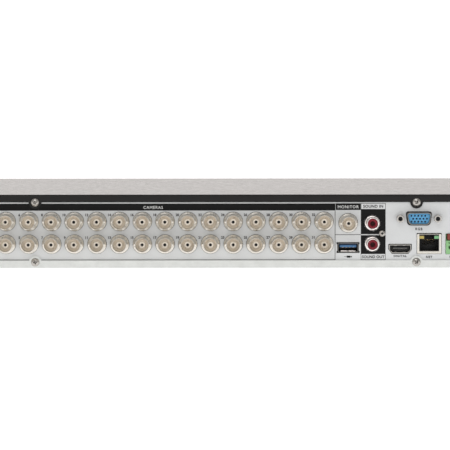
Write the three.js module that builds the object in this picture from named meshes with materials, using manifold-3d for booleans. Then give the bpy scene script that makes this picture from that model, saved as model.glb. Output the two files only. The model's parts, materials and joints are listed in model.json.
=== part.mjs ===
// A one-unit video recorder: a folded steel tray and cover, a printed rear connector panel, a plastic
// front bezel, and the boards, drive and fan that they hold. Millimetres, +Z up, the front faces -Y and the
// connectors face +Y. The origin is on the surface it stands on, under the middle of the whole object.
import * as THREE from "three";
import { mergeVertices } from "three/addons/utils/BufferGeometryUtils.js";
import Module from "manifold-3d";

const wasm = await Module();
wasm.setup();

// ---------------------------------------------------------------- driving dimensions
const CASE_WIDTH = 375;
const CASE_HEIGHT = 49;
const CASE_DEPTH = 281;
const FOOT_HEIGHT = 6;
const SHEET = 0.8;
const FIT = 0.2; // gap left between neighbouring pieces
const BEZEL_DEPTH = 12;
const JACK_REACH = 12; // the coax barrels stand this far behind the case

// the printed rear panel: u runs to the right as seen from behind, z is the height above the surface
const COAX_PITCH = 15.14;
const COAX_COLUMNS = 16;
const COLUMNS_PER_BLOCK = 4;
const COAX_LAST_U = 51.3; // the rightmost pair of the video inputs
const COAX_LOW_Z = 21.9;
const LIP_HEIGHT = 5.1;
const TAB_RADIUS = 4.2;
const LIP_SCREW_U = [-141.3, 113];
const COVER_SCREW_Z = 49.8;
const TRAY_SCREW_Z = 9.9;
const VIDEO_OUT = { u: 67.5, z: 36 };
const AUDIO = { u: 83.5, low: 21.9, high: 35.9 };
const AUDIO_SCREW = { u: 90.1, z: 28.9 };
const USB3 = { u: 67.4, z: 19.5 };
const VGA = { u: 114.6, z: 38.9, screwSpacing: 24.99 };
const HDMI = { u: 102.1, z: 18.9 };
const LAN = { u: 121.5, z: 22.3 };
const TERMINAL = { left: 132.6, bottom: 15.2, width: 11.2, height: 13.6, pitch: 5.2 };
const DC_JACK = { u: 155, z: 22.5 };
const GROUND = { u: 155, z: 39.5 };
const SWITCH = { u: 171.5, z: 30.5 };

// the side walls and the front
const SIDE_SCREW_Z = 12.5;
const SIDE_SCREW_Y = [-108, 108];
const FRONT_USB = { x: 154, z: 19.5 };
const WINDOW = { x: 124, z: 41, width: 96, height: 9 };

// boards and the parts they carry
const BOARD_TOP = 14;
const BOARD_THICKNESS = 1.6;
const DRIVE = { length: 147, width: 101.6, height: 26.1, x: -95.5, y: -59, bottom: 10 };
const SPARE_BAY_X = 95.5;
const LEAD_SEATS = [
  { x: -14, y: 14, width: 8, depth: 14 },
  { x: 6, y: 12, width: 12, depth: 6 },
  { x: 56, y: 12, width: 20, depth: 6 },
];
const SEAT_HEIGHT = 6;
const FAN = { size: 40, depth: 10, y: -60, z: 30.4, bore: 18.6 };

// ---------------------------------------------------------------- derived planes
const HALF_WIDTH = CASE_WIDTH / 2;
const CASE_BOTTOM = FOOT_HEIGHT;
const CASE_TOP = FOOT_HEIGHT + CASE_HEIGHT;
const REAR_Y = (CASE_DEPTH - JACK_REACH) / 2; // outer face of the rear lips
const FRONT_Y = REAR_Y - CASE_DEPTH;
const BEZEL_BACK_Y = FRONT_Y + BEZEL_DEPTH;
const FRONT_WALL_Y = BEZEL_BACK_Y + FIT;
const PANEL_Y = REAR_Y - SHEET - FIT; // outer face of the rear panel
const PANEL_IN_Y = PANEL_Y - SHEET;
const TRAY_HALF = HALF_WIDTH - SHEET - FIT; // outer face of the tray's flanges
const FLOOR_Z = CASE_BOTTOM + SHEET;
const COAX_HIGH_Z = COAX_LOW_Z + COAX_PITCH;
const COAX_FIRST_U = COAX_LAST_U - (COAX_COLUMNS - 1) * COAX_PITCH;
const BOARD_BOTTOM = BOARD_TOP - BOARD_THICKNESS;
const ON_BOARD = BOARD_TOP + FIT;
const BEHIND_PANEL = PANEL_IN_Y - FIT;

const rearX = (u) => -u;

// ---------------------------------------------------------------- solids
function solid(geometry) {
  const bare = geometry.index ? geometry.toNonIndexed() : geometry.clone();
  bare.deleteAttribute("normal");
  bare.deleteAttribute("uv");
  const merged = mergeVertices(bare, 1e-3);
  return new wasm.Manifold(
    new wasm.Mesh({
      numProp: 3,
      vertProperties: merged.attributes.position.array,
      triVerts: new Uint32Array(merged.index.array),
    }),
  );
}

function geometryOf(manifold) {
  const mesh = manifold.getMesh();
  const geometry = new THREE.BufferGeometry();
  geometry.setAttribute("position", new THREE.BufferAttribute(mesh.vertProperties, 3));
  geometry.setIndex(new THREE.BufferAttribute(mesh.triVerts, 1));
  const flat = geometry.toNonIndexed();
  flat.computeVertexNormals();
  return flat;
}

const join = (...parts) => parts.flat().reduce((all, part) => all.add(part));
const cut = (body, ...tools) => tools.flat().reduce((left, tool) => left.subtract(tool), body);

function slab([x0, x1], [y0, y1], [z0, z1]) {
  const box = new THREE.BoxGeometry(x1 - x0, y1 - y0, z1 - z0);
  box.translate((x0 + x1) / 2, (y0 + y1) / 2, (z0 + z1) / 2);
  return solid(box);
}

// A block given by its middle and size.
function block(x, y, z, sizeX, sizeY, sizeZ) {
  const half = (value, size) => [value - size / 2, value + size / 2];
  return slab(half(x, sizeX), half(y, sizeY), half(z, sizeZ));
}

// Extrusions of an outline: drawn in X and Z along Y, drawn in Y and Z along X, drawn in X and Y along Z.
function alongY(shape, y0, y1, curveSegments = 3) {
  const made = new THREE.ExtrudeGeometry(shape, { depth: y1 - y0, bevelEnabled: false, curveSegments });
  return solid(made.rotateX(Math.PI / 2).translate(0, y1, 0));
}

function alongX(shape, x0, x1, curveSegments = 3) {
  const made = new THREE.ExtrudeGeometry(shape, { depth: x1 - x0, bevelEnabled: false, curveSegments });
  const turn = new THREE.Matrix4().makeBasis(
    new THREE.Vector3(0, 1, 0),
    new THREE.Vector3(0, 0, 1),
    new THREE.Vector3(1, 0, 0),
  );
  return solid(made.applyMatrix4(turn).translate(x0, 0, 0));
}

// A body of revolution from (radius, distance) pairs, standing along a direction from a base point.
function turned(profile, base, direction, segments = 12) {
  const points = profile.map(([r, along]) => new THREE.Vector2(r, along));
  const made = new THREE.LatheGeometry(points, segments);
  const turn = new THREE.Quaternion().setFromUnitVectors(new THREE.Vector3(0, 1, 0), direction);
  made.applyQuaternion(turn).translate(base.x, base.y, base.z);
  return solid(made);
}

const REARWARD = new THREE.Vector3(0, 1, 0);
const UP = new THREE.Vector3(0, 0, 1);
const at = (x, y, z) => new THREE.Vector3(x, y, z);

function rod(radius, base, direction, length, segments = 12) {
  return turned([[0, 0], [radius, 0], [radius, length], [0, length]], base, direction, segments);
}

// An outline through the given corners, each rounded by the same amount.
function roundedOutline(corners, rounding) {
  const shape = new THREE.Shape();
  const count = corners.length;
  corners.forEach(([x, y], i) => {
    const corner = new THREE.Vector2(x, y);
    const before = new THREE.Vector2(...corners[(i + count - 1) % count]);
    const after = new THREE.Vector2(...corners[(i + 1) % count]);
    const entry = corner.clone().add(before.sub(corner).setLength(rounding));
    const exit = corner.clone().add(after.sub(corner).setLength(rounding));
    if (i === 0) shape.moveTo(entry.x, entry.y);
    else shape.lineTo(entry.x, entry.y);
    shape.quadraticCurveTo(x, y, exit.x, exit.y);
  });
  shape.closePath();
  return shape;
}

function rectangle(x, z, width, height, rounding = 0.3) {
  const [w, h] = [width / 2, height / 2];
  return roundedOutline([[x - w, z - h], [x + w, z - h], [x + w, z + h], [x - w, z + h]], rounding);
}

// ---------------------------------------------------------------- assembly and finishes
const recorder = new THREE.Group();

function section(x = 0, y = 0, z = 0) {
  const group = new THREE.Group();
  group.position.set(x, y, z);
  recorder.add(group);
  return group;
}

function add(group, name, shape, finish, position = [0, 0, 0], rotation = [0, 0, 0]) {
  const mesh = new THREE.Mesh(geometryOf(shape), new THREE.MeshStandardMaterial(finish));
  mesh.name = name;
  mesh.position.set(...position);
  mesh.rotation.set(...rotation);
  group.add(mesh);
}

const FINISH = {
  blackPaint: { color: 0x1b1b1c, roughness: 0.5 },
  panelPaint: { color: 0xd3d6d5, roughness: 0.5 },
  zinc: { color: 0xc4c7c7, roughness: 0.45, metalness: 0.6 },
  steel: { color: 0xb8bbbd, roughness: 0.3, metalness: 0.9 },
  nickel: { color: 0xc9bfb0, roughness: 0.3, metalness: 0.9 },
  aluminium: { color: 0x9aa0a4, roughness: 0.45, metalness: 0.9 },
  mirror: { color: 0xd8dadd, roughness: 0.05, metalness: 1 },
  blackPlastic: { color: 0x161617, roughness: 0.5 },
  glossBlack: { color: 0x111113, roughness: 0.25 },
  smoked: { color: 0x0b0c10, roughness: 0.1 },
  clear: { color: 0xd8dcdf, roughness: 0.15 },
  rubber: { color: 0x232324, roughness: 0.9 },
  portBlue: { color: 0x2f6fc4, roughness: 0.4 },
  displayBlue: { color: 0x3f95dc, roughness: 0.4 },
  green: { color: 0x8cc183, roughness: 0.5 },
  red: { color: 0xb5372a, roughness: 0.5 },
  circuit: { color: 0x1d5a36, roughness: 0.5 },
  greyJacket: { color: 0xb0b1b3, roughness: 0.7 },
};

// ---------------------------------------------------------------- folded steel
// A rounded tab around a lip screw, drawn in X and Z. It runs into the lip above or below it.
function tabOutline(x, z, radius, toLip) {
  const shape = new THREE.Shape();
  const steps = 8;
  const reach = radius + 0.7;
  shape.moveTo(x - reach * toLip, z);
  for (let i = 0; i <= steps; i += 1) {
    const angle = Math.PI * (i / steps);
    shape.lineTo(x - radius * Math.cos(angle) * toLip, z - radius * Math.sin(angle) * toLip);
  }
  shape.lineTo(x + reach * toLip, z);
  shape.lineTo(x + reach * toLip, z + toLip * 1.5);
  shape.lineTo(x - reach * toLip, z + toLip * 1.5);
  shape.closePath();
  return shape;
}

// Both screw holes through the side walls at each distance from the front.
const sideScrewHoles = () =>
  SIDE_SCREW_Y.map((y) => rod(1.75, at(-200, y, SIDE_SCREW_Z), at(1, 0, 0), 400, 8));
const lipHole = (u, z) => rod(1.75, at(rearX(u), PANEL_IN_Y - 2, z), REARWARD, 6, 8);

function baseTray() {
  const floor = slab([-TRAY_HALF, TRAY_HALF], [FRONT_WALL_Y, REAR_Y], [CASE_BOTTOM, FLOOR_Z]);
  const flangeTop = CASE_BOTTOM + 12;
  const flanges = [-1, 1].map((side) => {
    const x = [side * TRAY_HALF, side * (TRAY_HALF - SHEET)].sort((a, b) => a - b);
    return slab(x, [FRONT_WALL_Y, PANEL_IN_Y - FIT], [CASE_BOTTOM, flangeTop]);
  });
  const wallTop = CASE_TOP - 2.4;
  const wallY = [FRONT_WALL_Y, FRONT_WALL_Y + SHEET];
  const frontWall = slab([-TRAY_HALF, TRAY_HALF], wallY, [CASE_BOTTOM, wallTop]);
  const lipY = [REAR_Y - SHEET, REAR_Y];
  const lip = slab([-TRAY_HALF, TRAY_HALF], lipY, [CASE_BOTTOM, CASE_BOTTOM + LIP_HEIGHT]);
  const tabs = LIP_SCREW_U.map((u) =>
    alongY(tabOutline(rearX(u), TRAY_SCREW_Z, TAB_RADIUS, -1), ...lipY));
  const fanX = [TRAY_HALF - SHEET, TRAY_HALF];
  const fanEar = slab(fanX, [FAN.y - 23, FAN.y + 23], [CASE_BOTTOM, FAN.z + 21.5]);
  const standoffs = [-170, -60, 60, 170].flatMap((x) => [14, 121].map((y) =>
    rod(2.5, at(x, y, FLOOR_Z - 0.3), UP, BOARD_BOTTOM - FIT - FLOOR_Z + 0.3, 8)));
  const drivePads = [DRIVE.x, SPARE_BAY_X].flatMap((x) => [-52, 52].flatMap((dx) => [-41, 41].map((dy) =>
    rod(5, at(x + dx, DRIVE.y + dy, FLOOR_Z - 0.3), UP, DRIVE.bottom - FIT - FLOOR_Z + 0.3, 8))));
  const frontStandoffs = [104, 170].map((x) => rod(2.5, at(x, -123, FLOOR_Z - 0.3), UP, 4.3, 8));
  const tray = join(floor, flanges, frontWall, lip, tabs, fanEar, standoffs, drivePads, frontStandoffs);
  const fanHole = rod(FAN.bore, at(TRAY_HALF - 3, FAN.y, FAN.z), at(1, 0, 0), 6, 16);
  const lipHoles = LIP_SCREW_U.map((u) => lipHole(u, TRAY_SCREW_Z));
  const portHole = block(FRONT_USB.x, FRONT_WALL_Y, FRONT_USB.z, 17, 6, 10);
  const lightHole = block(WINDOW.x, FRONT_WALL_Y, 17, 36, 6, 14);
  return cut(tray, fanHole, lipHoles, sideScrewHoles(), portHole, lightHole);
}


function topCover() {
  const bridge = (half, top, rounding) => roundedOutline(
    [[-half, CASE_BOTTOM - 20], [half, CASE_BOTTOM - 20], [half, top], [-half, top]], rounding);
  const outer = bridge(HALF_WIDTH, CASE_TOP, 2);
  const inner = bridge(HALF_WIDTH - SHEET, CASE_TOP - SHEET, 1.3);
  const hood = cut(alongY(outer, BEZEL_BACK_Y + FIT, REAR_Y), alongY(inner, BEZEL_BACK_Y - 5, REAR_Y + 5));
  const open = cut(hood, slab([-200, 200], [-200, 200], [-30, CASE_BOTTOM + 1]));
  const lipY = [REAR_Y - SHEET, REAR_Y];
  const lip = slab([-TRAY_HALF, TRAY_HALF], lipY, [CASE_TOP - LIP_HEIGHT, CASE_TOP - 0.4]);
  const tabs = LIP_SCREW_U.map((u) =>
    alongY(tabOutline(rearX(u), COVER_SCREW_Z, TAB_RADIUS, 1), ...lipY));
  const cover = join(open, lip, tabs);
  const lipHoles = LIP_SCREW_U.map((u) => lipHole(u, COVER_SCREW_Z));
  return cut(cover, lipHoles, sideScrewHoles(), sideVents());
}

// Upright slots through both side walls, beside the fan and beside the board.
const VENT = { width: 3.2, height: 22, pitch: 6.4, z: 30.4 };
const VENT_GROUPS = [{ y: -60, count: 7 }, { y: 52, count: 9 }];

function sideVents() {
  const [w, h, nip] = [VENT.width / 2, VENT.height / 2, 1.2];
  return VENT_GROUPS.flatMap(({ y, count }) => Array.from({ length: count }, (_, i) => {
    const middle = y + (i - (count - 1) / 2) * VENT.pitch;
    const corners = [[-w, -h + nip], [-w + nip, -h], [w - nip, -h], [w, -h + nip],
      [w, h - nip], [w - nip, h], [-w + nip, h], [-w, h - nip]];
    const points = corners.map(([dy, dz]) => new THREE.Vector2(middle + dy, VENT.z + dz));
    return alongX(new THREE.Shape(points), -200, 200);
  }));
}

// ---------------------------------------------------------------- rear panel and its openings
const VGA_CORNERS = (u, z, grow) => {
  const [top, bottom, half] = [8.2 + grow, 6.8 + grow, 3.95 + grow];
  return [[rearX(u) - bottom, z - half], [rearX(u) + bottom, z - half],
    [rearX(u) + top, z + half], [rearX(u) - top, z + half]];
};

const HDMI_CORNERS = (u, z, grow) => {
  const [w, foot, h, shoulder] = [7.3 + grow, 5.2 + grow * 0.6, 2.85 + grow, 0.6 - grow * 0.4];
  const x = rearX(u);
  return [[x - foot, z - h], [x + foot, z - h], [x + w, z - shoulder], [x + w, z + h], [x - w, z + h],
    [x - w, z - shoulder]];
};

const coaxPlaces = Array.from({ length: COAX_COLUMNS }, (_, i) => COAX_FIRST_U + i * COAX_PITCH)
  .flatMap((u) => [COAX_LOW_Z, COAX_HIGH_Z].map((z) => ({ u, z })));

function rearPanel() {
  const gapZ = SHEET + 2 * FIT;
  const plate = slab([-TRAY_HALF + SHEET + FIT, TRAY_HALF - SHEET - FIT], [PANEL_IN_Y, PANEL_Y],
    [CASE_BOTTOM + gapZ, CASE_TOP - gapZ]);
  const hole = (u, z, radius, segments) =>
    rod(radius, at(rearX(u), PANEL_IN_Y - 2, z), REARWARD, 6, segments);
  const window = (outline) => alongY(outline, PANEL_IN_Y - 2, PANEL_Y + 2);
  const holes = [
    ...[...coaxPlaces, VIDEO_OUT].map(({ u, z }) => hole(u, z, 6.85, 12)),
    ...[AUDIO.low, AUDIO.high].map((z) => hole(AUDIO.u, z, 5.3, 12)),
    ...LIP_SCREW_U.flatMap((u) => [COVER_SCREW_Z, TRAY_SCREW_Z].map((z) => hole(u, z, 1.75, 8))),
    ...[-1, 1].map((side) => hole(VGA.u + side * VGA.screwSpacing / 2, VGA.z, 1.75, 8)),
    hole(AUDIO_SCREW.u, AUDIO_SCREW.z, 1.5, 8),
    hole(GROUND.u, GROUND.z, 1.75, 8),
    hole(DC_JACK.u, DC_JACK.z, 5.6, 12),
  ];
  const windows = [
    rectangle(rearX(USB3.u), USB3.z, 15, 7.4),
    roundedOutline(VGA_CORNERS(VGA.u, VGA.z, 0.6), 2),
    roundedOutline(HDMI_CORNERS(HDMI.u, HDMI.z, 0.35), 0.4),
    rectangle(rearX(LAN.u), LAN.z + 0.3, 16.9, 14.6),
    rectangle(rearX(TERMINAL.left + TERMINAL.width / 2), TERMINAL.bottom + TERMINAL.height / 2,
      TERMINAL.width + 0.6, TERMINAL.height + 0.6),
    rectangle(rearX(SWITCH.u), SWITCH.z, 13.4, 19.4),
  ].map(window);
  return cut(plate, holes, windows);
}

// ---------------------------------------------------------------- fasteners
// A pan-head screw pointing its head towards +Y, with the head's underside at the origin.
function panScrew(headRadius, shank, shankLength) {
  return turned([
    [0, -shankLength], [shank, -shankLength], [shank, 0], [headRadius, 0],
    [headRadius, 0.9], [headRadius * 0.72, 1.7], [0, 1.9],
  ], at(0, 0, 0), REARWARD);
}

const onPanel = ({ u, z }) => [rearX(u), PANEL_Y + FIT / 2, z];
const onLip = (u, z) => [rearX(u), REAR_Y + FIT / 2, z];

// A threaded hexagonal standoff that clamps the display port to the panel.
function hexNut() {
  const body = rod(2.75, at(0, 0, 0), REARWARD, 4.8, 6);
  const bore = rod(1.2, at(0, 1.9, 0), REARWARD, 6, 8);
  const stud = rod(1.3, at(0, -SHEET - 2.7, 0), REARWARD, SHEET + 3, 8);
  return join(cut(body, bore), stud);
}

// ---------------------------------------------------------------- connectors
// A bayonet coax barrel with its collar, its insulator and the root that sits in a housing.
function coaxBarrel(x, z) {
  const [collar, barrel, wall, core] = [6.35, 4.85, 4.1, 2.4];
  const [collarEnd, insulatorEnd, floor] = [1.4, 8.6, 4.5];
  const tip = REAR_Y + JACK_REACH - PANEL_Y;
  return turned([
    [0, -3], [collar, -3], [collar, collarEnd], [barrel, collarEnd], [barrel, tip], [wall, tip],
    [wall, floor], [core, floor], [core, insulatorEnd], [0, insulatorEnd],
  ], at(x, PANEL_Y, z), REARWARD);
}

// A moulding that carries four columns of barrels, drawn about the middle of its columns.
function coaxBlock() {
  const half = (COLUMNS_PER_BLOCK * COAX_PITCH) / 2 - FIT;
  const housing = slab([-half, half], [BEHIND_PANEL - 15, BEHIND_PANEL], [ON_BOARD, COAX_HIGH_Z + 7.4]);
  const barrels = Array.from({ length: COLUMNS_PER_BLOCK }, (_, i) => i - (COLUMNS_PER_BLOCK - 1) / 2)
    .flatMap((column) => [COAX_LOW_Z, COAX_HIGH_Z].map((z) => coaxBarrel(column * COAX_PITCH, z)));
  return join(housing, barrels);
}

function videoOutJack() {
  const x = rearX(VIDEO_OUT.u);
  const back = BEHIND_PANEL - 22;
  const housing = slab([x - 7, x + 7], [back, BEHIND_PANEL], [VIDEO_OUT.z - 7.4, VIDEO_OUT.z + 7.4]);
  const leg = slab([x - 7, x + 7], [back, back + 3.5], [ON_BOARD, VIDEO_OUT.z]);
  return join(housing, leg, coaxBarrel(x, VIDEO_OUT.z));
}

function audioJackBlock() {
  const x = rearX(AUDIO.u);
  const housing = slab([x - 6.8, x + 6.8], [BEHIND_PANEL - 14, BEHIND_PANEL], [ON_BOARD, AUDIO.high + 6.6]);
  const ear = block(rearX(AUDIO_SCREW.u), BEHIND_PANEL - 4, AUDIO_SCREW.z, 6, 8, 7);
  const jacks = [AUDIO.low, AUDIO.high].map((z) => turned([
    [0, -3], [5, -3], [5, 0.8], [4.15, 0.8], [4.15, 9], [3.5, 9], [3.5, 8.4], [1.7, 8.4], [1.7, 1], [0, 1],
  ], at(x, PANEL_Y, z), REARWARD));
  const screwHole = rod(1.5, at(rearX(AUDIO_SCREW.u), BEHIND_PANEL - 7, AUDIO_SCREW.z), REARWARD, 12, 8);
  return cut(join(housing, ear, jacks), screwHole);
}

// A drawn metal sleeve, open at its front and closed by the insert that sits in its back.
function sleeve(outer, inner, y0, y1) {
  return cut(alongY(outer, y0, y1), alongY(inner, y0 - 2, y1 + 2));
}

const USB_SHELL = { width: 13.6, height: 6.2, wall: 0.4 };

function usbShell(x, z, y0, y1) {
  const { width, height, wall } = USB_SHELL;
  const inner = rectangle(x, z, width - 2 * wall, height - 2 * wall, 0.3);
  return sleeve(rectangle(x, z, width, height, 0.5), inner, y0, y1);
}

// The plastic core of a socket: a plug at the back and a tongue that carries the contacts.
function usbCore(x, z, back, front, tongueFront) {
  const inner = USB_SHELL.width - 2 * USB_SHELL.wall - 0.3;
  const tall = USB_SHELL.height - 2 * USB_SHELL.wall - 0.3;
  const plug = slab([x - inner / 2, x + inner / 2], [back, front], [z - tall / 2, z + tall / 2]);
  const tongue = slab([x - 5.55, x + 5.55], [Math.min(front, tongueFront), Math.max(front, tongueFront)],
    [z + 0.15, z + 1.95]);
  return join(plug, tongue);
}

function vgaShell() {
  const x = rearX(VGA.u);
  const flange = slab([x - 15.4, x + 15.4], [BEHIND_PANEL - 0.8, BEHIND_PANEL], [VGA.z - 6.2, VGA.z + 6.2]);
  const drawn = alongY(roundedOutline(VGA_CORNERS(VGA.u, VGA.z, 0), 2.2), BEHIND_PANEL - 0.8, PANEL_Y + 5.2);
  const hollow = alongY(roundedOutline(VGA_CORNERS(VGA.u, VGA.z, -0.45), 2), BEHIND_PANEL - 3, PANEL_Y + 8);
  const screwHoles = [-1, 1].map((side) =>
    rod(1.75, at(x + side * VGA.screwSpacing / 2, BEHIND_PANEL - 3, VGA.z), REARWARD, 6, 8));
  return cut(join(flange, drawn), hollow, screwHoles);
}

function vgaInsert() {
  const x = rearX(VGA.u);
  const face = alongY(roundedOutline(VGA_CORNERS(VGA.u, VGA.z, -0.75), 1.8), BEHIND_PANEL - 5, PANEL_Y + 3.6);
  const body = slab([x - 9.2, x + 9.2], [BEHIND_PANEL - 11, BEHIND_PANEL - 1.2], [VGA.z - 5.4, VGA.z + 5.4]);
  const legs = slab([x - 9.2, x + 9.2], [BEHIND_PANEL - 27, BEHIND_PANEL - 22.6], [ON_BOARD, VGA.z + 5.4]);
  const bridge = slab([x - 9.2, x + 9.2], [BEHIND_PANEL - 24, BEHIND_PANEL - 10], [VGA.z - 1, VGA.z + 5.4]);
  return join(face, body, bridge, legs);
}

function hdmiShell() {
  const outer = roundedOutline(HDMI_CORNERS(HDMI.u, HDMI.z, 0), 0.5);
  const inner = roundedOutline(HDMI_CORNERS(HDMI.u, HDMI.z, -0.45), 0.3);
  return sleeve(outer, inner, PANEL_Y - 11, PANEL_Y + 0.5);
}

function hdmiTongue() {
  const x = rearX(HDMI.u);
  const outline = roundedOutline(HDMI_CORNERS(HDMI.u, HDMI.z, -0.7), 0.3);
  const plug = alongY(outline, PANEL_Y - 10.8, PANEL_Y - 7.6);
  const tongue = slab([x - 4.9, x + 4.9], [PANEL_Y - 7.8, PANEL_Y - 1], [HDMI.z + 0.1, HDMI.z + 1.3]);
  return join(plug, tongue);
}

const LAN_SIZE = { width: 16.2, height: 13.8, depth: 21 };
const LAN_CAVITY = { width: 12, bottom: 17.2, top: 25, depth: 13 };

function lanShell() {
  const { width, height, depth } = LAN_SIZE;
  const outer = rectangle(rearX(LAN.u), LAN.z, width, height, 0.4);
  const inner = rectangle(rearX(LAN.u), LAN.z, width - 0.8, height - 0.8, 0.3);
  return sleeve(outer, inner, PANEL_Y + 0.5 - depth, PANEL_Y + 0.5);
}

function lanInsert() {
  const { width, height, depth } = LAN_SIZE;
  const x = rearX(LAN.u);
  const front = PANEL_Y + 0.2;
  const body = block(x, front - depth / 2 + 0.2, LAN.z, width - 1.2, depth - 0.6, height - 1.2);
  const cavityX = [x - LAN_CAVITY.width / 2, x + LAN_CAVITY.width / 2];
  const cavity = slab(cavityX, [front - LAN_CAVITY.depth, front + 2], [LAN_CAVITY.bottom, LAN_CAVITY.top]);
  const notch = slab([x - 3.2, x + 3.2], [front - 9, front + 2], [LAN_CAVITY.top - 1, LAN_CAVITY.top + 2.8]);
  return cut(body, cavity, notch);
}

const polePlaces = [0, 1].map((i) => TERMINAL.left + 0.4 + (i + 0.5) * TERMINAL.pitch);

function terminalBlock() {
  const { left, bottom, width, height, pitch } = TERMINAL;
  const x = [rearX(left + width), rearX(left)];
  const face = PANEL_Y + 1;
  const body = slab(x, [PANEL_Y - 12, face], [bottom, bottom + height - 4.4]);
  const back = slab(x, [PANEL_Y - 12, PANEL_Y - 5.5], [bottom, bottom + height]);
  const foot = slab(x, [PANEL_Y - 12, BEHIND_PANEL], [ON_BOARD, bottom + 1]);
  const dividers = [0, 1, 2].map((i) => {
    const middle = rearX(left + 0.4 + i * pitch);
    const z = [bottom + height - 5, bottom + height];
    return slab([middle - 0.4, middle + 0.4], [PANEL_Y - 6, face - 1.6], z);
  });
  const wireHoles = polePlaces.map((u) => rod(1.2, at(rearX(u), PANEL_Y - 6, bottom + 4.4), REARWARD, 12, 8));
  return cut(join(body, back, foot, dividers), wireHoles);
}

// A push button that opens one spring clamp. It is drawn about its own middle and the panel's face.
function terminalButton() {
  return slab([-1.95, 1.95], [-3, 1.4], [-1.95, 1.95]);
}

function dcJack() {
  const x = rearX(DC_JACK.u);
  const housing = slab([x - 6.5, x + 6.5], [BEHIND_PANEL - 13, BEHIND_PANEL], [ON_BOARD, DC_JACK.z + 6.5]);
  const barrel = turned([
    [0, -3], [5.2, -3], [5.2, 0.8], [3.2, 0.8], [3.2, -8], [1, -8], [1, -0.5], [0, -0.5],
  ], at(x, PANEL_Y, DC_JACK.z), REARWARD);
  const bore = rod(3.2, at(x, PANEL_Y - 8, DC_JACK.z), REARWARD, 12, 12);
  const pin = rod(1, at(x, PANEL_Y - 9, DC_JACK.z), REARWARD, 8.2, 8);
  return join(cut(join(housing, cut(barrel, bore)), bore), pin);
}

const ROCKER = { width: 9.4, height: 14.2, pivotY: PANEL_Y - 2.4, tilt: THREE.MathUtils.degToRad(-11) };

function switchHousing() {
  const x = rearX(SWITCH.u);
  const bezel = alongY(rectangle(x, SWITCH.z, 15, 21, 1.2), PANEL_Y + FIT / 2, PANEL_Y + 2);
  const body = block(x, PANEL_Y - 6, SWITCH.z, 12.8, 13, 18.8);
  const pocket = block(x, PANEL_Y - 2, SWITCH.z, ROCKER.width + 0.6, 12, ROCKER.height + 2.2);
  const tails = [-1, 0, 1].map((i) => block(x, PANEL_Y - 15, SWITCH.z + i * 6, 4.8, 7, 0.8));
  return join(cut(join(bezel, body), pocket), tails);
}

// The rocker, drawn from the side about its pivot: a shallow V of two faces.
function switchRocker() {
  const half = ROCKER.height / 2;
  const outline = new THREE.Shape();
  outline.moveTo(-2.6, -half + 1.2);
  outline.lineTo(4.8, -half);
  outline.lineTo(3.7, 0);
  outline.lineTo(4.8, half);
  outline.lineTo(-2.6, half - 1.2);
  outline.closePath();
  return alongX(outline, -ROCKER.width / 2, ROCKER.width / 2);
}

// ---------------------------------------------------------------- front
function frontBezel() {
  const [back, front] = [BEZEL_BACK_Y, FRONT_Y];
  const profile = new THREE.Shape();
  profile.moveTo(back, CASE_BOTTOM);
  profile.lineTo(back, CASE_TOP);
  profile.lineTo(front + 2.2, CASE_TOP);
  profile.lineTo(front + 0.6, CASE_TOP - 0.8);
  profile.lineTo(front, CASE_TOP - 2.6);
  profile.lineTo(front, 31.4);
  profile.lineTo(front + 1.2, 30.8);
  profile.lineTo(front + 1.2, 29.2);
  profile.lineTo(front, 28.6);
  profile.lineTo(front, CASE_BOTTOM + 3);
  profile.lineTo(front + 2, CASE_BOTTOM);
  profile.closePath();
  const outer = alongX(profile, -HALF_WIDTH, HALF_WIDTH);
  const wall = 2.4;
  const hollow = slab([-HALF_WIDTH + wall, HALF_WIDTH - wall], [front + wall + 1, back + 2],
    [CASE_BOTTOM + wall, CASE_TOP - wall]);
  const windowHole = block(WINDOW.x, front, WINDOW.z, WINDOW.width + 0.6, 12, WINDOW.height + 0.6);
  const portHole = block(FRONT_USB.x, front, FRONT_USB.z, 14.4, 12, 7);
  return cut(outer, hollow, windowHole, portHole);
}

const LAMP_X = [114, 124, 134];

// Three clear rods that carry the lamps' light up to the window, on one plate behind the bezel's face.
function lightGuide() {
  const plate = slab([108, 140], [FRONT_Y + 3.55, FRONT_Y + 5.1], [36.5, 45.5]);
  const pipes = LAMP_X.map((x) => rod(1.5, at(x, FRONT_Y + 2.6, WINDOW.z), REARWARD, 2, 8));
  const legs = LAMP_X.map((x) => block(x, FRONT_Y + 6, 29, 3, 2.4, 22));
  const feet = LAMP_X.map((x) => slab([x - 1.5, x + 1.5], [FRONT_Y + 4.8, FRONT_WALL_Y + 8], [16, 19]));
  return join(plate, pipes, legs, feet);
}

function frontBoard() {
  const board = slab([96, 178], [FRONT_WALL_Y + SHEET + 1, -113], [11, 12.6]);
  const lamps = LAMP_X.map((x) => block(x, FRONT_WALL_Y + 6, 14, 3, 3, 3.4));
  const plugSeat = block(101, -117, 14.4, 6, 5, 4);
  return join(board, lamps, plugSeat);
}

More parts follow.
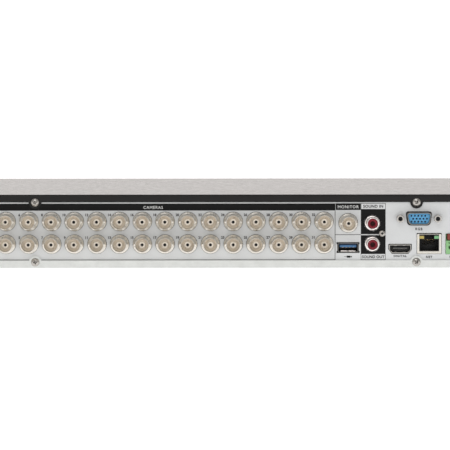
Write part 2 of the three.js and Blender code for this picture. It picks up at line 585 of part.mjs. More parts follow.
// ---------------------------------------------------------------- inside
function mainBoard() {
  const board = slab([-182, 182], [5, 131], [BOARD_BOTTOM, BOARD_TOP]);
  const chips = [[0, 62, 27, 27, 2], [-52, 66, 14, 20, 1.4], [-52, 40, 14, 20, 1.4], [60, 96, 12, 12, 1.2],
    [90, 96, 12, 12, 1.2], [120, 96, 12, 12, 1.2], [150, 96, 12, 12, 1.2], [-120, 80, 9, 9, 1.4]];
  const seats = LEAD_SEATS.map(({ x, y, width, depth }) => [x, y, width, depth, SEAT_HEIGHT]);
  const coils = [[-140, 60], [-140, 42], [-160, 60]].map(([x, y]) => [x, y, 12, 12, 6]);
  const raised = [...chips, ...seats, ...coils].map(([x, y, w, d, h]) =>
    slab([x - w / 2, x + w / 2], [y - d / 2, y + d / 2], [BOARD_TOP - 0.2, BOARD_TOP + h]));
  const cans = [[-160, 96], [-146, 96], [-160, 82]].map(([x, y]) =>
    rod(4, at(x, y, BOARD_TOP - 0.2), UP, 11, 8));
  return join(board, raised, cans);
}

function heatSink() {
  const base = block(0, 0, BOARD_TOP + 4.2, 46, 46, 4);
  const fins = Array.from({ length: 9 }, (_, i) => block((i - 4) * 5.4, 0, BOARD_TOP + 12, 1.4, 46, 14));
  return join(base, fins);
}

// The fan's frame, drawn about its spindle with the strutted side at the origin.
function fanFrame() {
  const { size, depth, bore } = FAN;
  const outward = at(1, 0, 0);
  const body = slab([0, depth], [-size / 2, size / 2], [-size / 2, size / 2]);
  const duct = rod(bore, at(-2, 0, 0), outward, depth + 4, 16);
  const screwHoles = [-16, 16].flatMap((y) =>
    [-16, 16].map((z) => rod(1.7, at(-2, y, z), outward, depth + 4, 8)));
  const seat = rod(9, at(0, 0, 0), outward, 1.4, 12);
  const struts = [0, 1, 2].map((i) =>
    slab([0, 1.4], [-1.2, 1.2], [7, bore + 0.5]).rotate([i * 120 + 30, 0, 0]));
  const spindle = rod(1.5, at(0, 0, 0), outward, 3, 8);
  return join(cut(body, duct, screwHoles), seat, struts, spindle);
}

// The rotor, drawn about its spindle with the hub's open end at the origin.
function fanRotor() {
  const hub = turned([[0, 2], [1.8, 2], [1.8, 0], [10, 0], [10, 7], [0, 7]], at(0, 0, 0), at(1, 0, 0), 12);
  const blades = Array.from({ length: 7 }, (_, i) => {
    const blade = new THREE.BoxGeometry(1, 5.4, 8.4, 1, 1, 2);
    const corners = blade.attributes.position;
    for (let v = 0; v < corners.count; v += 1) {
      const turn = 0.75 - 0.035 * (corners.getZ(v) + 4.2);
      const [x, y] = [corners.getX(v), corners.getY(v)];
      corners.setXY(v, x * Math.cos(turn) - y * Math.sin(turn), x * Math.sin(turn) + y * Math.cos(turn));
    }
    blade.translate(3.6, 0, 13.6);
    return solid(blade).rotate([(i * 360) / 7, 0, 0]);
  });
  return join(hub, blades);
}

// ---------------------------------------------------------------- disk drive
// Drawn about the middle of the drive's underside.
const PLATTER = { x: -22, radius: 47.5 };
const ARM = { x: 42, y: -24, parked: THREE.MathUtils.degToRad(8) };
const STACK_BOTTOM = 6;

function driveBase() {
  const { length, width } = DRIVE;
  const body = slab([-length / 2, length / 2], [-width / 2, width / 2], [0, 22]);
  const bowl = rod(48.4, at(PLATTER.x, 0, 5), UP, 30, 24);
  const armBay = slab([15, 65], [-45, 29], [5, 35]);
  const boss = rod(3, at(ARM.x, ARM.y, 4), UP, 16, 8);
  const spindle = rod(4, at(PLATTER.x, 0, 4), UP, 15, 12);
  return join(cut(body, bowl, armBay), boss, spindle);
}

function driveCover() {
  const { length, width, height } = DRIVE;
  return slab([2 - length / 2, length / 2 - 12], [1 - width / 2, width / 2 - 1], [22 + FIT, height]);
}

// Two disks on one hub, drawn about the spindle.
function drivePlatters() {
  const hub = 13;
  return turned([
    [4.4, 0], [hub, 0], [hub, 4], [PLATTER.radius, 4], [PLATTER.radius, 5], [hub, 5], [hub, 10],
    [PLATTER.radius, 10], [PLATTER.radius, 11], [hub, 11], [hub, 13.5], [4.4, 13.5], [4.4, 0],
  ], at(0, 0, 0), UP, 20);
}

// The head arm, drawn about its pivot. Its three blades pass under, between and over the disks.
function driveArm() {
  const tube = turned([[3.3, 0], [8, 0], [8, 14], [3.3, 14], [3.3, 0]], at(0, 0, 0), UP, 12);
  const bladeShape = new THREE.Shape();
  bladeShape.moveTo(-4, 5);
  bladeShape.lineTo(4, 5);
  bladeShape.lineTo(1.2, 46);
  bladeShape.lineTo(-1.2, 46);
  bladeShape.closePath();
  const blades = [2, 6.9, 12.1].map((z) => {
    const made = new THREE.ExtrudeGeometry(bladeShape, { depth: 1.2, bevelEnabled: false });
    return solid(made.translate(0, 0, z));
  });
  const tail = slab([-9, 9], [-17, -6], [5, 8]);
  return join(tube, blades, tail);
}

// ---------------------------------------------------------------- leads inside the case
// A flat lead along a smooth route, as wide as stated and one flat strip thick.
function lead(points, width, thickness, steps) {
  const path = new THREE.CatmullRomCurve3(points.map((p) => at(...p)));
  const [w, t] = [width / 2, thickness / 2];
  const section = new THREE.Shape([[-t, -w], [t, -w], [t, w], [-t, w]].map((p) => new THREE.Vector2(...p)));
  return solid(new THREE.ExtrudeGeometry(section, { steps, extrudePath: path }));
}

const driveEnd = DRIVE.x + DRIVE.length / 2;
const PLUG_Z = BOARD_TOP + SEAT_HEIGHT + FIT + 2.5;
const boardPlug = ({ x, y, width, depth }) => block(x, y, PLUG_Z, width - 1, depth - 1, 5);
const drivePlug = (y, width) => block(driveEnd + FIT + 3, y, 14, 6, width, 4.6);

function dataLead() {
  const seat = LEAD_SEATS[0];
  const run = lead([[driveEnd + 4, -32, 14], [driveEnd + 11, -32, 14.4], [-8, -24, 17], [-8, -8, 24],
    [-12, 6, 27], [seat.x, seat.y, PLUG_Z + 1]], 4, 1.6, 16);
  return join(run, drivePlug(-32, 12), boardPlug(seat));
}

function powerLead() {
  const seat = LEAD_SEATS[1];
  const run = lead([[driveEnd + 4, -52, 14], [driveEnd + 11, -52, 14.4], [-3, -46, 16], [3, -24, 22],
    [6, -4, 27], [seat.x, seat.y - 1, PLUG_Z + 1]], 5, 1.6, 16);
  return join(run, drivePlug(-52, 21), boardPlug(seat));
}

function ribbonLead() {
  const seat = LEAD_SEATS[2];
  const run = lead([[101, -117, 19.4], [90, -117.5, 20.6], [60, -118, 17], [24, -117, 13], [11, -100, 12],
    [10, -50, 12], [16, -10, 18], [36, 2, 26], [seat.x, seat.y, PLUG_Z + 1]], 4, 1, 24);
  return join(run, block(101, -117, 18.9, 5, 4, 4.6), boardPlug(seat));
}

// ---------------------------------------------------------------- pieces
const enclosure = section();
add(enclosure, "base_tray", baseTray(), FINISH.zinc);
add(enclosure, "rear_panel", rearPanel(), FINISH.panelPaint);
add(enclosure, "top_cover", topCover(), FINISH.blackPaint);
[[-1, "left"], [1, "right"]].forEach(([side, sideName]) => {
  [[-108, "front"], [30, "rear"]].forEach(([y, end]) => {
    const profile = [[0, 0], [7.5, 0], [9, 1.2], [9, FOOT_HEIGHT - FIT / 2], [0, FOOT_HEIGHT - FIT / 2]];
    const foot = turned(profile, at(0, 0, 0), UP, 16);
    add(enclosure, `foot_${end}_${sideName}`, foot, FINISH.rubber, [side * 150, y, 0]);
  });
  SIDE_SCREW_Y.forEach((y) => {
    const name = `side_screw_${sideName}_${y < 0 ? "front" : "rear"}`;
    const place = [side * (HALF_WIDTH + FIT / 2), y, SIDE_SCREW_Z];
    add(enclosure, name, panScrew(2.8, 1.4, 4), FINISH.nickel, place, [0, 0, (-side * Math.PI) / 2]);
  });
});
LIP_SCREW_U.forEach((u, i) => {
  const side = ["left", "right"][i];
  add(enclosure, `cover_screw_${side}`, panScrew(2.8, 1.4, 6), FINISH.nickel, onLip(u, COVER_SCREW_Z));
  add(enclosure, `tray_screw_${side}`, panScrew(2.8, 1.4, 6), FINISH.nickel, onLip(u, TRAY_SCREW_Z));
});

const front = section();
const pane = block(0, 1.4, 0, WINDOW.width, 2, WINDOW.height);
add(front, "front_bezel", frontBezel(), FINISH.glossBlack);
add(front, "front_window", pane, FINISH.smoked, [WINDOW.x, FRONT_Y, WINDOW.z]);
add(front, "light_guide", lightGuide(), FINISH.clear);
add(front, "front_board", frontBoard(), FINISH.circuit);
const frontPort = [FRONT_USB.x, FRONT_Y, FRONT_USB.z];
add(front, "front_usb_shell", usbShell(0, 0, 0.4, 17), FINISH.steel, frontPort);
add(front, "front_usb_core", usbCore(0, 0, 10, 16, 2), FINISH.blackPlastic, frontPort);

const ports = section();
for (let i = 0; i < COAX_COLUMNS / COLUMNS_PER_BLOCK; i += 1) {
  const middleU = COAX_FIRST_U + ((i + 0.5) * COLUMNS_PER_BLOCK - 0.5) * COAX_PITCH;
  add(ports, `coax_block_${i + 1}`, coaxBlock(), FINISH.nickel, [rearX(middleU), 0, 0]);
}
add(ports, "video_out_jack", videoOutJack(), FINISH.nickel);
add(ports, "audio_jack_block", audioJackBlock(), FINISH.nickel);
add(ports, "audio_block_screw", panScrew(2.2, 1.2, 6), FINISH.nickel, onPanel(AUDIO_SCREW));
const rearPort = [rearX(USB3.u), PANEL_Y, USB3.z];
add(ports, "usb_shell", usbShell(0, 0, -17, 0.6), FINISH.steel, rearPort);
add(ports, "usb_core", usbCore(0, 0, -16.6, -9, -1), FINISH.portBlue, rearPort);
add(ports, "vga_shell", vgaShell(), FINISH.steel);
add(ports, "vga_insert", vgaInsert(), FINISH.displayBlue);
["left", "right"].forEach((side, i) => {
  const place = onPanel({ u: VGA.u + (i - 0.5) * VGA.screwSpacing, z: VGA.z });
  add(ports, `vga_nut_${side}`, hexNut(), FINISH.nickel, place);
});
add(ports, "hdmi_shell", hdmiShell(), FINISH.steel);
add(ports, "hdmi_tongue", hdmiTongue(), FINISH.blackPlastic);
add(ports, "lan_shell", lanShell(), FINISH.steel);
add(ports, "lan_insert", lanInsert(), FINISH.blackPlastic);
add(ports, "terminal_block", terminalBlock(), FINISH.green);
polePlaces.forEach((u, i) => {
  const place = [rearX(u), PANEL_Y, TERMINAL.bottom + TERMINAL.height - 2.15];
  add(ports, `terminal_button_${"ab"[i]}`, terminalButton(), FINISH.red, place);
});
add(ports, "dc_jack", dcJack(), FINISH.blackPlastic);
add(ports, "ground_screw", panScrew(3, 1.5, 6), FINISH.nickel, onPanel(GROUND));
add(ports, "switch_housing", switchHousing(), FINISH.blackPlastic);
const rockerPlace = [rearX(SWITCH.u), ROCKER.pivotY, SWITCH.z];
add(ports, "switch_rocker", switchRocker(), FINISH.glossBlack, rockerPlace, [ROCKER.tilt, 0, 0]);

const electronics = section();
const fanX = TRAY_HALF - SHEET - FIT - FAN.depth;
add(electronics, "main_board", mainBoard(), FINISH.circuit);
add(electronics, "heat_sink", heatSink(), FINISH.aluminium, [0, 62, 0]);
add(electronics, "coin_cell", rod(10, at(0, 0, 0), UP, 5, 16), FINISH.steel, [-100, 80, ON_BOARD]);
add(electronics, "buzzer", rod(6, at(0, 0, 0), UP, 8, 12), FINISH.blackPlastic, [100, 30, ON_BOARD]);
add(electronics, "fan_frame", fanFrame(), FINISH.blackPlastic, [fanX, FAN.y, FAN.z]);
add(electronics, "fan_rotor", fanRotor(), FINISH.blackPlastic, [fanX + 1.8, FAN.y, FAN.z]);
add(electronics, "data_lead", dataLead(), FINISH.red);
add(electronics, "power_lead", powerLead(), FINISH.blackPlastic);
add(electronics, "ribbon_lead", ribbonLead(), FINISH.greyJacket);

const drive = section(DRIVE.x, DRIVE.y, DRIVE.bottom);
add(drive, "drive_base", driveBase(), FINISH.aluminium);
add(drive, "drive_cover", driveCover(), FINISH.steel);
add(drive, "drive_platters", drivePlatters(), FINISH.mirror, [PLATTER.x, 0, STACK_BOTTOM]);
add(drive, "drive_arm", driveArm(), FINISH.aluminium, [ARM.x, ARM.y, STACK_BOTTOM], [0, 0, ARM.parked]);

export default recorder;
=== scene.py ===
"""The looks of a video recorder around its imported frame: enclosure, printed rear panel and ports."""
import json
import math

import bmesh
import bpy
from mathutils import Matrix, Vector


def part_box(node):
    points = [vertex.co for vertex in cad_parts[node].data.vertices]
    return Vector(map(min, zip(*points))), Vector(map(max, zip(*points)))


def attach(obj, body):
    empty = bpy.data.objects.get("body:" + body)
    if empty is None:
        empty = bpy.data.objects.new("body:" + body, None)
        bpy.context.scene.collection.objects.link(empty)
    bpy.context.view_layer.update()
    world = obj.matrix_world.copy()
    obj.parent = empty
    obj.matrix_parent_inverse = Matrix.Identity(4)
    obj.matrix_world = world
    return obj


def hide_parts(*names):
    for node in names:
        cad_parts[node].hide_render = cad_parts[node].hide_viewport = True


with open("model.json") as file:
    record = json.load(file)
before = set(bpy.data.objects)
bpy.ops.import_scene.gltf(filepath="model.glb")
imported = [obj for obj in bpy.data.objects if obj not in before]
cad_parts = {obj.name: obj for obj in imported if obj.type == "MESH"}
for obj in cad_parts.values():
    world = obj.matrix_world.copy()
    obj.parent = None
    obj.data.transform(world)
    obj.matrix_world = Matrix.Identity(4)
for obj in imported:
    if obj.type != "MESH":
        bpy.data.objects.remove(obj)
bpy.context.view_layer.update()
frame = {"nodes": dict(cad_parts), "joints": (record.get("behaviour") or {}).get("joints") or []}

# ---------- sizes and places
# Shapes are drawn in millimetres. On the rear panel, u runs to the right as seen from behind, z is the height
# above the floor, and out is the distance behind the panel's face.
MM = 0.001
CASE = "case"


def span(node):
    low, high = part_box(node)
    return low / MM, high / MM


def centre(node):
    low, high = span(node)
    return (low + high) / 2


PANEL_LOW, PANEL_HIGH = span("rear_panel")
COVER_LOW, COVER_HIGH = span("top_cover")
BEZEL_LOW, BEZEL_HIGH = span("front_bezel")
PANEL_Y = PANEL_HIGH.y
LIP_OUT = COVER_HIGH.y - PANEL_Y
SHEET = PANEL_HIGH.y - PANEL_LOW.y
# Housings behind the panel end here.
BEHIND = -SHEET - 0.2

BLOCKS = [f"coax_block_{i}" for i in range(1, 5)]
COLUMNS_PER_BLOCK = 4
BLOCK_GAP = 0.4
BLOCK_LOW, BLOCK_HIGH = span(BLOCKS[0])
COAX_PITCH = (BLOCK_HIGH.x - BLOCK_LOW.x + BLOCK_GAP) / COLUMNS_PER_BLOCK
COAX_DROP = 7.4
COAX_HOLE = 6.5
COAX_ROWS = (BLOCK_HIGH.z - COAX_DROP - COAX_PITCH, BLOCK_HIGH.z - COAX_DROP)
COAX_TIP = BLOCK_HIGH.y - PANEL_Y
COAX_FIRST_U = -BLOCK_HIGH.x + COAX_PITCH / 2 - BLOCK_GAP / 2
COLUMN_U = [COAX_FIRST_U + i * COAX_PITCH for i in range(16)]

VIDEO_OUT = (-centre("video_out_jack").x, span("video_out_jack")[1].z - COAX_DROP)
AUDIO_HALF = 6.8
AUDIO_PITCH = 14
AUDIO_U = AUDIO_HALF - span("audio_jack_block")[1].x
AUDIO_HIGH = span("audio_jack_block")[1].z - 6.6
AUDIO_ROWS = (AUDIO_HIGH - AUDIO_PITCH, AUDIO_HIGH)
DC_LOW, DC_HIGH = span("dc_jack")
DC_HALF = 6.5
DC_SOCKET = (-(DC_LOW.x + DC_HIGH.x) / 2, DC_HIGH.z - DC_HALF)
LIP_SCREWS = ["cover_screw_left", "cover_screw_right", "tray_screw_left", "tray_screw_right"]
SIDE_SCREWS = [f"side_screw_{side}_{end}" for side in ("left", "right") for end in ("front", "rear")]


def place(node):
    """A node's middle on the rear panel, as (u, z)."""
    middle = centre(node)
    return -middle.x, middle.z


def shift(x, y, z):
    return Matrix.Translation((x, y, z))


def spin(degrees, axis="Z"):
    return Matrix.Rotation(math.radians(degrees), 4, axis)


def added(name, data):
    """A new object in the scene."""
    obj = bpy.data.objects.new(name, data)
    bpy.context.scene.collection.objects.link(obj)
    return obj


def set_inputs(node, values):
    for name, value in values.items():
        node.inputs[name].default_value = value


# ---------- camera and light
CAMERA_DISTANCE = 2250
CAMERA_HEIGHT = 154
VIEW_WIDTH = 300
ROLL = -0.05
AIM = Vector((14.7, COVER_HIGH.y, 34.7))
KEY_PLACE = Vector((0.3, 1.9, 1.7))
KEY_AIM = Vector((0, 0.13, 0.03))
KEY_SIZE = (1.6, 1.0)
KEY_POWER = 10
ROOM_STRENGTH = 1.42
FLOOR_GLOW = 0.98
# The colour of the room from straight ahead of the camera (0) round to straight behind it (1).
ROOM = [(0, (0.88, 0.845, 0.82)), (1.0, (0.74, 0.735, 0.72)), (0.45, (1.0, 0.985, 0.965)),
        (0.6, (0.5, 0.495, 0.485)), (0.82, (0.38, 0.375, 0.37)), (0.94, (0.62, 0.615, 0.6))]
# How much of that light is left from straight below (0) up to straight above (1).
CEILING = [(0, (1, 1, 1)), (1.0, (0.45, 0.45, 0.45)), (0.6, (1, 1, 1)), (0.76, (0.68, 0.68, 0.68))]


def make_camera():
    data = bpy.data.cameras.new("camera")
    eye = Vector((AIM.x, AIM.y + CAMERA_DISTANCE, CAMERA_HEIGHT))
    data.lens = data.sensor_width * (eye - AIM).length / VIEW_WIDTH
    data.clip_start = 0.01
    data.clip_end = 50
    camera = added("camera", data)
    turn = (AIM - eye).to_track_quat("-Z", "Y").to_matrix().to_4x4()
    camera.matrix_world = Matrix.Translation(eye * MM) @ turn @ spin(ROLL)
    bpy.context.scene.camera = camera


def make_key_light():
    data = bpy.data.lights.new("key", "AREA")
    data.shape = "RECTANGLE"
    data.size, data.size_y = KEY_SIZE
    data.energy = KEY_POWER
    turn = (KEY_AIM - KEY_PLACE).to_track_quat("-Z", "Y").to_matrix().to_4x4()
    added("key", data).matrix_world = Matrix.Translation(KEY_PLACE) @ turn


def make_studio():
    scene = bpy.context.scene
    scene.view_settings.view_transform = "Standard"
    world = bpy.data.worlds.new("studio")
    scene.world = world
    world.use_nodes = True
    nodes, links = world.node_tree.nodes, world.node_tree.links
    background = nodes["Background"]
    set_inputs(background, {"Strength": ROOM_STRENGTH})
    way = nodes.new("ShaderNodeTexCoord")
    parts = nodes.new("ShaderNodeSeparateXYZ")
    links.new(way.outputs["Generated"], parts.inputs["Vector"])

    def graded(axis, colours):
        reach = nodes.new("ShaderNodeMapRange")
        set_inputs(reach, {"From Min": -1, "From Max": 1})
        ramp = nodes.new("ShaderNodeValToRGB")
        stops = ramp.color_ramp.elements
        for index, (position, colour) in enumerate(colours):
            element = stops[index] if index < 2 else stops.new(position)
            element.position = position
            element.color = (*colour, 1)
        links.new(parts.outputs[axis], reach.inputs["Value"])
        links.new(reach.outputs["Result"], ramp.inputs["Fac"])
        return ramp.outputs["Color"]

    light = nodes.new("ShaderNodeMix")
    light.data_type = "RGBA"
    light.blend_type = "MULTIPLY"
    set_inputs(light, {"Factor": 1})
    links.new(graded("Y", ROOM), light.inputs["A"])
    links.new(graded("Z", CEILING), light.inputs["B"])
    sight = nodes.new("ShaderNodeLightPath")
    backdrop = nodes.new("ShaderNodeMix")
    backdrop.data_type = "RGBA"
    set_inputs(backdrop, {"B": (1, 1, 1, 1)})
    links.new(sight.outputs["Is Camera Ray"], backdrop.inputs["Factor"])
    links.new(light.outputs["Result"], backdrop.inputs["A"])
    links.new(backdrop.outputs["Result"], background.inputs["Color"])


# ---------- materials
# The middle span of the noise, over which a finish wanders.
NOISE_LOW, NOISE_HIGH = 0.3, 0.7
FINISHES = {}


def link_noise(tree, coordinates, scale, stretch):
    mapping = tree.nodes.new("ShaderNodeMapping")
    set_inputs(mapping, {"Scale": stretch})
    noise = tree.nodes.new("ShaderNodeTexNoise")
    set_inputs(noise, {"Scale": scale, "Detail": 3.0, "Roughness": 0.55})
    tree.links.new(coordinates, mapping.inputs["Vector"])
    tree.links.new(mapping.outputs["Vector"], noise.inputs["Vector"])
    return noise.outputs["Fac"]


def surface(name, colour, roughness, metallic=0.0, tone=0.08, tone_scale=60, polish=0.08, grain=0.02,
            grain_scale=2500, stretch=(1, 1, 1), coat=0.0, transmission=0.0, specular=0.5):
    """A finish whose colour wanders by tone, whose roughness wanders by polish, with grain as its bump."""
    material = bpy.data.materials.new(name)
    FINISHES[name] = material
    material.use_nodes = True
    tree = material.node_tree
    shader = tree.nodes["Principled BSDF"]
    set_inputs(shader, {"Metallic": metallic, "Specular IOR Level": specular, "Coat Weight": coat,
                        "Coat Roughness": 0.08, "Transmission Weight": transmission})
    coordinates = tree.nodes.new("ShaderNodeTexCoord").outputs["Object"]

    ramp = tree.nodes.new("ShaderNodeValToRGB")
    darker, lighter = ramp.color_ramp.elements
    darker.position, lighter.position = NOISE_LOW, NOISE_HIGH
    darker.color = [c * (1 - tone) for c in colour] + [1]
    lighter.color = [min(1, c * (1 + tone)) for c in colour] + [1]
    tree.links.new(link_noise(tree, coordinates, tone_scale, stretch), ramp.inputs["Fac"])
    tree.links.new(ramp.outputs["Color"], shader.inputs["Base Color"])

    gloss = tree.nodes.new("ShaderNodeMapRange")
    set_inputs(gloss, {"From Min": NOISE_LOW, "From Max": NOISE_HIGH, "To Min": max(0.02, roughness - polish),
                       "To Max": min(1, roughness + polish)})
    tree.links.new(link_noise(tree, coordinates, tone_scale * 5, stretch), gloss.inputs["Value"])
    tree.links.new(gloss.outputs["Result"], shader.inputs["Roughness"])

    if grain:
        bump = tree.nodes.new("ShaderNodeBump")
        set_inputs(bump, {"Strength": 0.6, "Distance": grain * MM})
        tree.links.new(link_noise(tree, coordinates, grain_scale, stretch), bump.inputs["Height"])
        tree.links.new(bump.outputs["Normal"], shader.inputs["Normal"])
    return material


surface("cover_paint", (0.009, 0.0085, 0.008), 0.22, tone=0.15, polish=0.03, grain=0.004, grain_scale=1800,
        specular=0.2)
surface("tray_steel", (0.62, 0.63, 0.615), 0.42, 1.0, tone=0.05, tone_scale=140, polish=0.1, grain=0.01)
surface("panel_paint", (0.625, 0.635, 0.64), 0.42, tone=0.02, grain=0.01, grain_scale=3000)
surface("print_black", (0.008, 0.008, 0.008), 0.45, tone=0.1, grain=0.003, specular=0.1)
surface("print_white", (0.8, 0.8, 0.79), 0.5, tone=0.03, grain=0.005)
surface("nickel", (0.74, 0.705, 0.645), 0.3, 1.0, tone=0.05, tone_scale=250, polish=0.06, grain=0.0015)
surface("screw_nickel", (0.42, 0.40, 0.375), 0.24, 1.0, tone=0.06, tone_scale=300, grain=0.002)
surface("port_steel", (0.62, 0.595, 0.545), 0.28, 1.0, tone=0.05, grain=0.004)
surface("dielectric", (0.84, 0.765, 0.665), 0.4, tone=0.04, grain=0.003)
surface("gold", (0.86, 0.62, 0.26), 0.25, 1.0, tone=0.04, grain=0.002)
surface("bezel_plastic", (0.014, 0.014, 0.015), 0.2, tone=0.1, coat=0.3, grain=0.004)
surface("window_plastic", (0.10, 0.10, 0.11), 0.06, tone=0.1, polish=0.02, grain=0, transmission=0.9)
surface("clear_plastic", (0.75, 0.77, 0.78), 0.15, tone=0.03, grain=0.003, transmission=0.5)
surface("black_plastic", (0.018, 0.018, 0.019), 0.42, tone=0.12, grain=0.02)
surface("foot_rubber", (0.02, 0.02, 0.02), 0.8, tone=0.15, grain=0.05, grain_scale=1500)
surface("pale_nickel", (0.90, 0.84, 0.82), 0.25, 1.0, tone=0.04, grain=0.002)
surface("shadow_steel", (0.27, 0.26, 0.245), 0.4, 1.0, tone=0.06, grain=0.003)
surface("dark_steel", (0.50, 0.48, 0.45), 0.32, 1.0, tone=0.06, grain=0.003)
surface("port_blue", (0.04, 0.15, 0.33), 0.3, tone=0.06, grain=0.005)
# A darker copy of the port blue: painted shade on blue plastic set back in the sockets.
surface("painted_shade_blue", (0.008, 0.03, 0.085), 0.35, tone=0.06, grain=0.005)
surface("vga_blue", (0.075, 0.31, 0.56), 0.35, tone=0.05, grain=0.006)
surface("audio_red", (0.19, 0.007, 0.018), 0.28, tone=0.06, grain=0.005, specular=0.3)
# A darker copy of the audio red: painted shade in the socket holes.
surface("painted_shade_red", (0.05, 0.002, 0.004), 0.4, tone=0.06, grain=0.005, specular=0.15)
surface("terminal_green", (0.235, 0.47, 0.21), 0.45, tone=0.05, grain=0.015)
surface("terminal_red", (0.22, 0.03, 0.018), 0.42, tone=0.05, grain=0.012)
surface("lamp_yellow", (0.46, 0.37, 0.09), 0.25, tone=0.08, grain=0.004)
surface("lamp_green", (0.17, 0.42, 0.19), 0.25, tone=0.08, grain=0.004)
surface("circuit_board", (0.012, 0.11, 0.045), 0.35, tone=0.2, tone_scale=220, grain=0.02)
surface("chip_black", (0.02, 0.02, 0.021), 0.5, tone=0.1, grain=0.01)
surface("heat_sink_metal", (0.60, 0.61, 0.63), 0.35, 1.0, tone=0.05, grain=0.01, stretch=(1, 0.05, 1))
surface("cell_steel", (0.66, 0.66, 0.66), 0.25, 1.0, tone=0.04, grain=0.004)
surface("drive_casting", (0.42, 0.43, 0.44), 0.5, 1.0, tone=0.08, grain=0.04)
surface("drive_lid", (0.66, 0.66, 0.67), 0.3, 1.0, tone=0.04, grain=0.006)
surface("platter_mirror", (0.82, 0.82, 0.83), 0.04, 1.0, tone=0.02, polish=0.01, grain=0)
surface("lead_red", (0.42, 0.02, 0.02), 0.45, tone=0.06, grain=0.01)
surface("lead_black", (0.02, 0.02, 0.02), 0.5, tone=0.1, grain=0.01)
surface("lead_grey", (0.42, 0.42, 0.43), 0.5, tone=0.06, grain=0.01)


# ---------- mesh tools
def facing(right, up, out, origin=(0, 0, 0)):
    """A frame whose x, y and z run along right, up and out."""
    turn = Matrix((right, up, out)).transposed().to_4x4()
    return Matrix.Translation(origin) @ turn


REAR = facing((-1, 0, 0), (0, 0, 1), (0, 1, 0), (0, PANEL_Y, 0))
SIDEWAYS = facing((0, 1, 0), (0, 0, 1), (1, 0, 0))
WORLD = Matrix.Identity(4)
SHARP_FROM = 40
CAPITAL_SHARE = 0.72
INK = 0.03


def on_rear(u, z, out=0.0):
    return REAR @ shift(u, z, out)


def as_mesh(work, name):
    """The mesh of a bmesh, which is used up."""
    mesh = bpy.data.meshes.new(name)
    work.to_mesh(mesh)
    work.free()
    return mesh


def merged(*meshes):
    """One mesh from several. The several are used up."""
    work = bmesh.new()
    for mesh in meshes:
        work.from_mesh(mesh)
        bpy.data.meshes.remove(mesh)
    return as_mesh(work, "merged")


def moved(mesh, matrix):
    copy = mesh.copy()
    copy.transform(matrix)
    return copy


def cleaned(mesh, distance=0.002):
    work = bmesh.new()
    work.from_mesh(mesh)
    bmesh.ops.remove_doubles(work, verts=work.verts, dist=distance)
    bmesh.ops.recalc_face_normals(work, faces=work.faces)
    work.to_mesh(mesh)
    work.free()
    return mesh


def evaluated(obj):
    """The mesh that an object of the scene makes, with the object used up."""
    graph = bpy.context.evaluated_depsgraph_get()
    mesh = bpy.data.meshes.new_from_object(obj.evaluated_get(graph))
    bpy.data.objects.remove(obj)
    return mesh


def drawn(outlines, depth, bevel=0.0, base=0.0):
    """A plate from closed outlines in x and y, holes included, from base up to base + depth."""
    curve = bpy.data.curves.new("outline", "CURVE")
    curve.dimensions = "2D"
    curve.fill_mode = "BOTH"
    curve.extrude = depth / 2 - bevel
    curve.bevel_depth = bevel
    curve.bevel_resolution = 1
    curve.offset = -bevel
    for index, points in enumerate(outlines):
        area = sum(a[0] * b[1] - b[0] * a[1] for a, b in zip(points, points[1:] + points[:1]))
        ordered = points if (area > 0) == (index == 0) else points[::-1]
        spline = curve.splines.new("POLY")
        spline.points.add(len(ordered) - 1)
        for point, (x, y) in zip(spline.points, ordered):
            point.co = (x, y, 0, 1)
        spline.use_cyclic_u = True
    mesh = evaluated(added("outline", curve))
    mesh.transform(shift(0, 0, base + depth / 2))
    return cleaned(mesh)


def lettering(text, height, x, y, base=0.0, align="CENTER", spacing=1.0, stretch=1.0, weight=0.022):
    """Printed capitals of that height, standing on the line y."""
    curve = bpy.data.curves.new("lettering", "FONT")
    curve.body = text
    curve.size = height / CAPITAL_SHARE
    curve.extrude = INK / 2
    curve.align_x = align
    curve.space_character = spacing
    curve.offset = height * weight
    curve.resolution_u = 3
    mesh = evaluated(added("lettering", curve))
    mesh.transform(shift(x, y, base + INK / 2) @ Matrix.Diagonal((stretch, 1, 1, 1)))
    return cleaned(mesh, 0.0005)


def turned(profile, segments=48):
    """A body of revolution about z from (radius, height) pairs, closed where its ends are on the axis."""
    work = bmesh.new()
    rings = []
    for radius, height in profile:
        if radius == 0:
            rings.append([work.verts.new((0, 0, height))])
            continue
        angles = [2 * math.pi * i / segments for i in range(segments)]
        rings.append([work.verts.new((radius * math.cos(a), radius * math.sin(a), height)) for a in angles])
    pairs = list(zip(rings, rings[1:]))
    if len(rings[0]) > 1:
        pairs.append((rings[-1], rings[0]))
    for lower, upper in pairs:
        for i in range(segments):
            corners = [lower[i % len(lower)], lower[(i + 1) % segments % len(lower)],
                       upper[(i + 1) % segments % len(upper)], upper[i % len(upper)]]
            unique = list(dict.fromkeys(corners))
            if len(unique) > 2:
                work.faces.new(unique)
    bmesh.ops.recalc_face_normals(work, faces=work.faces)
    return as_mesh(work, "turned")


def soft_box(x, y, z, bevel=0.15, segments=2):
    """A box with rounded edges, from (low, high) pairs."""
    work = bmesh.new()
    bmesh.ops.create_cube(work, size=1)
    for vertex in work.verts:
        for axis, (low, high) in enumerate((x, y, z)):
            vertex.co[axis] = (low + high) / 2 + vertex.co[axis] * (high - low)
    if bevel:
        bmesh.ops.bevel(work, geom=work.edges, offset=bevel, segments=segments, affect="EDGES", profile=0.5)
    return as_mesh(work, "soft_box")


def upright(half_x, half_y, z, bevel=0.15):
    """A soft box whose middle is on the z axis."""
    return soft_box((-half_x, half_x), (-half_y, half_y), z, bevel)


def boxes_along(middles, half, y, z, bevel):
    """A soft box about each of those middles in x."""
    return [soft_box((x - half, x + half), y, z, bevel) for x in middles]


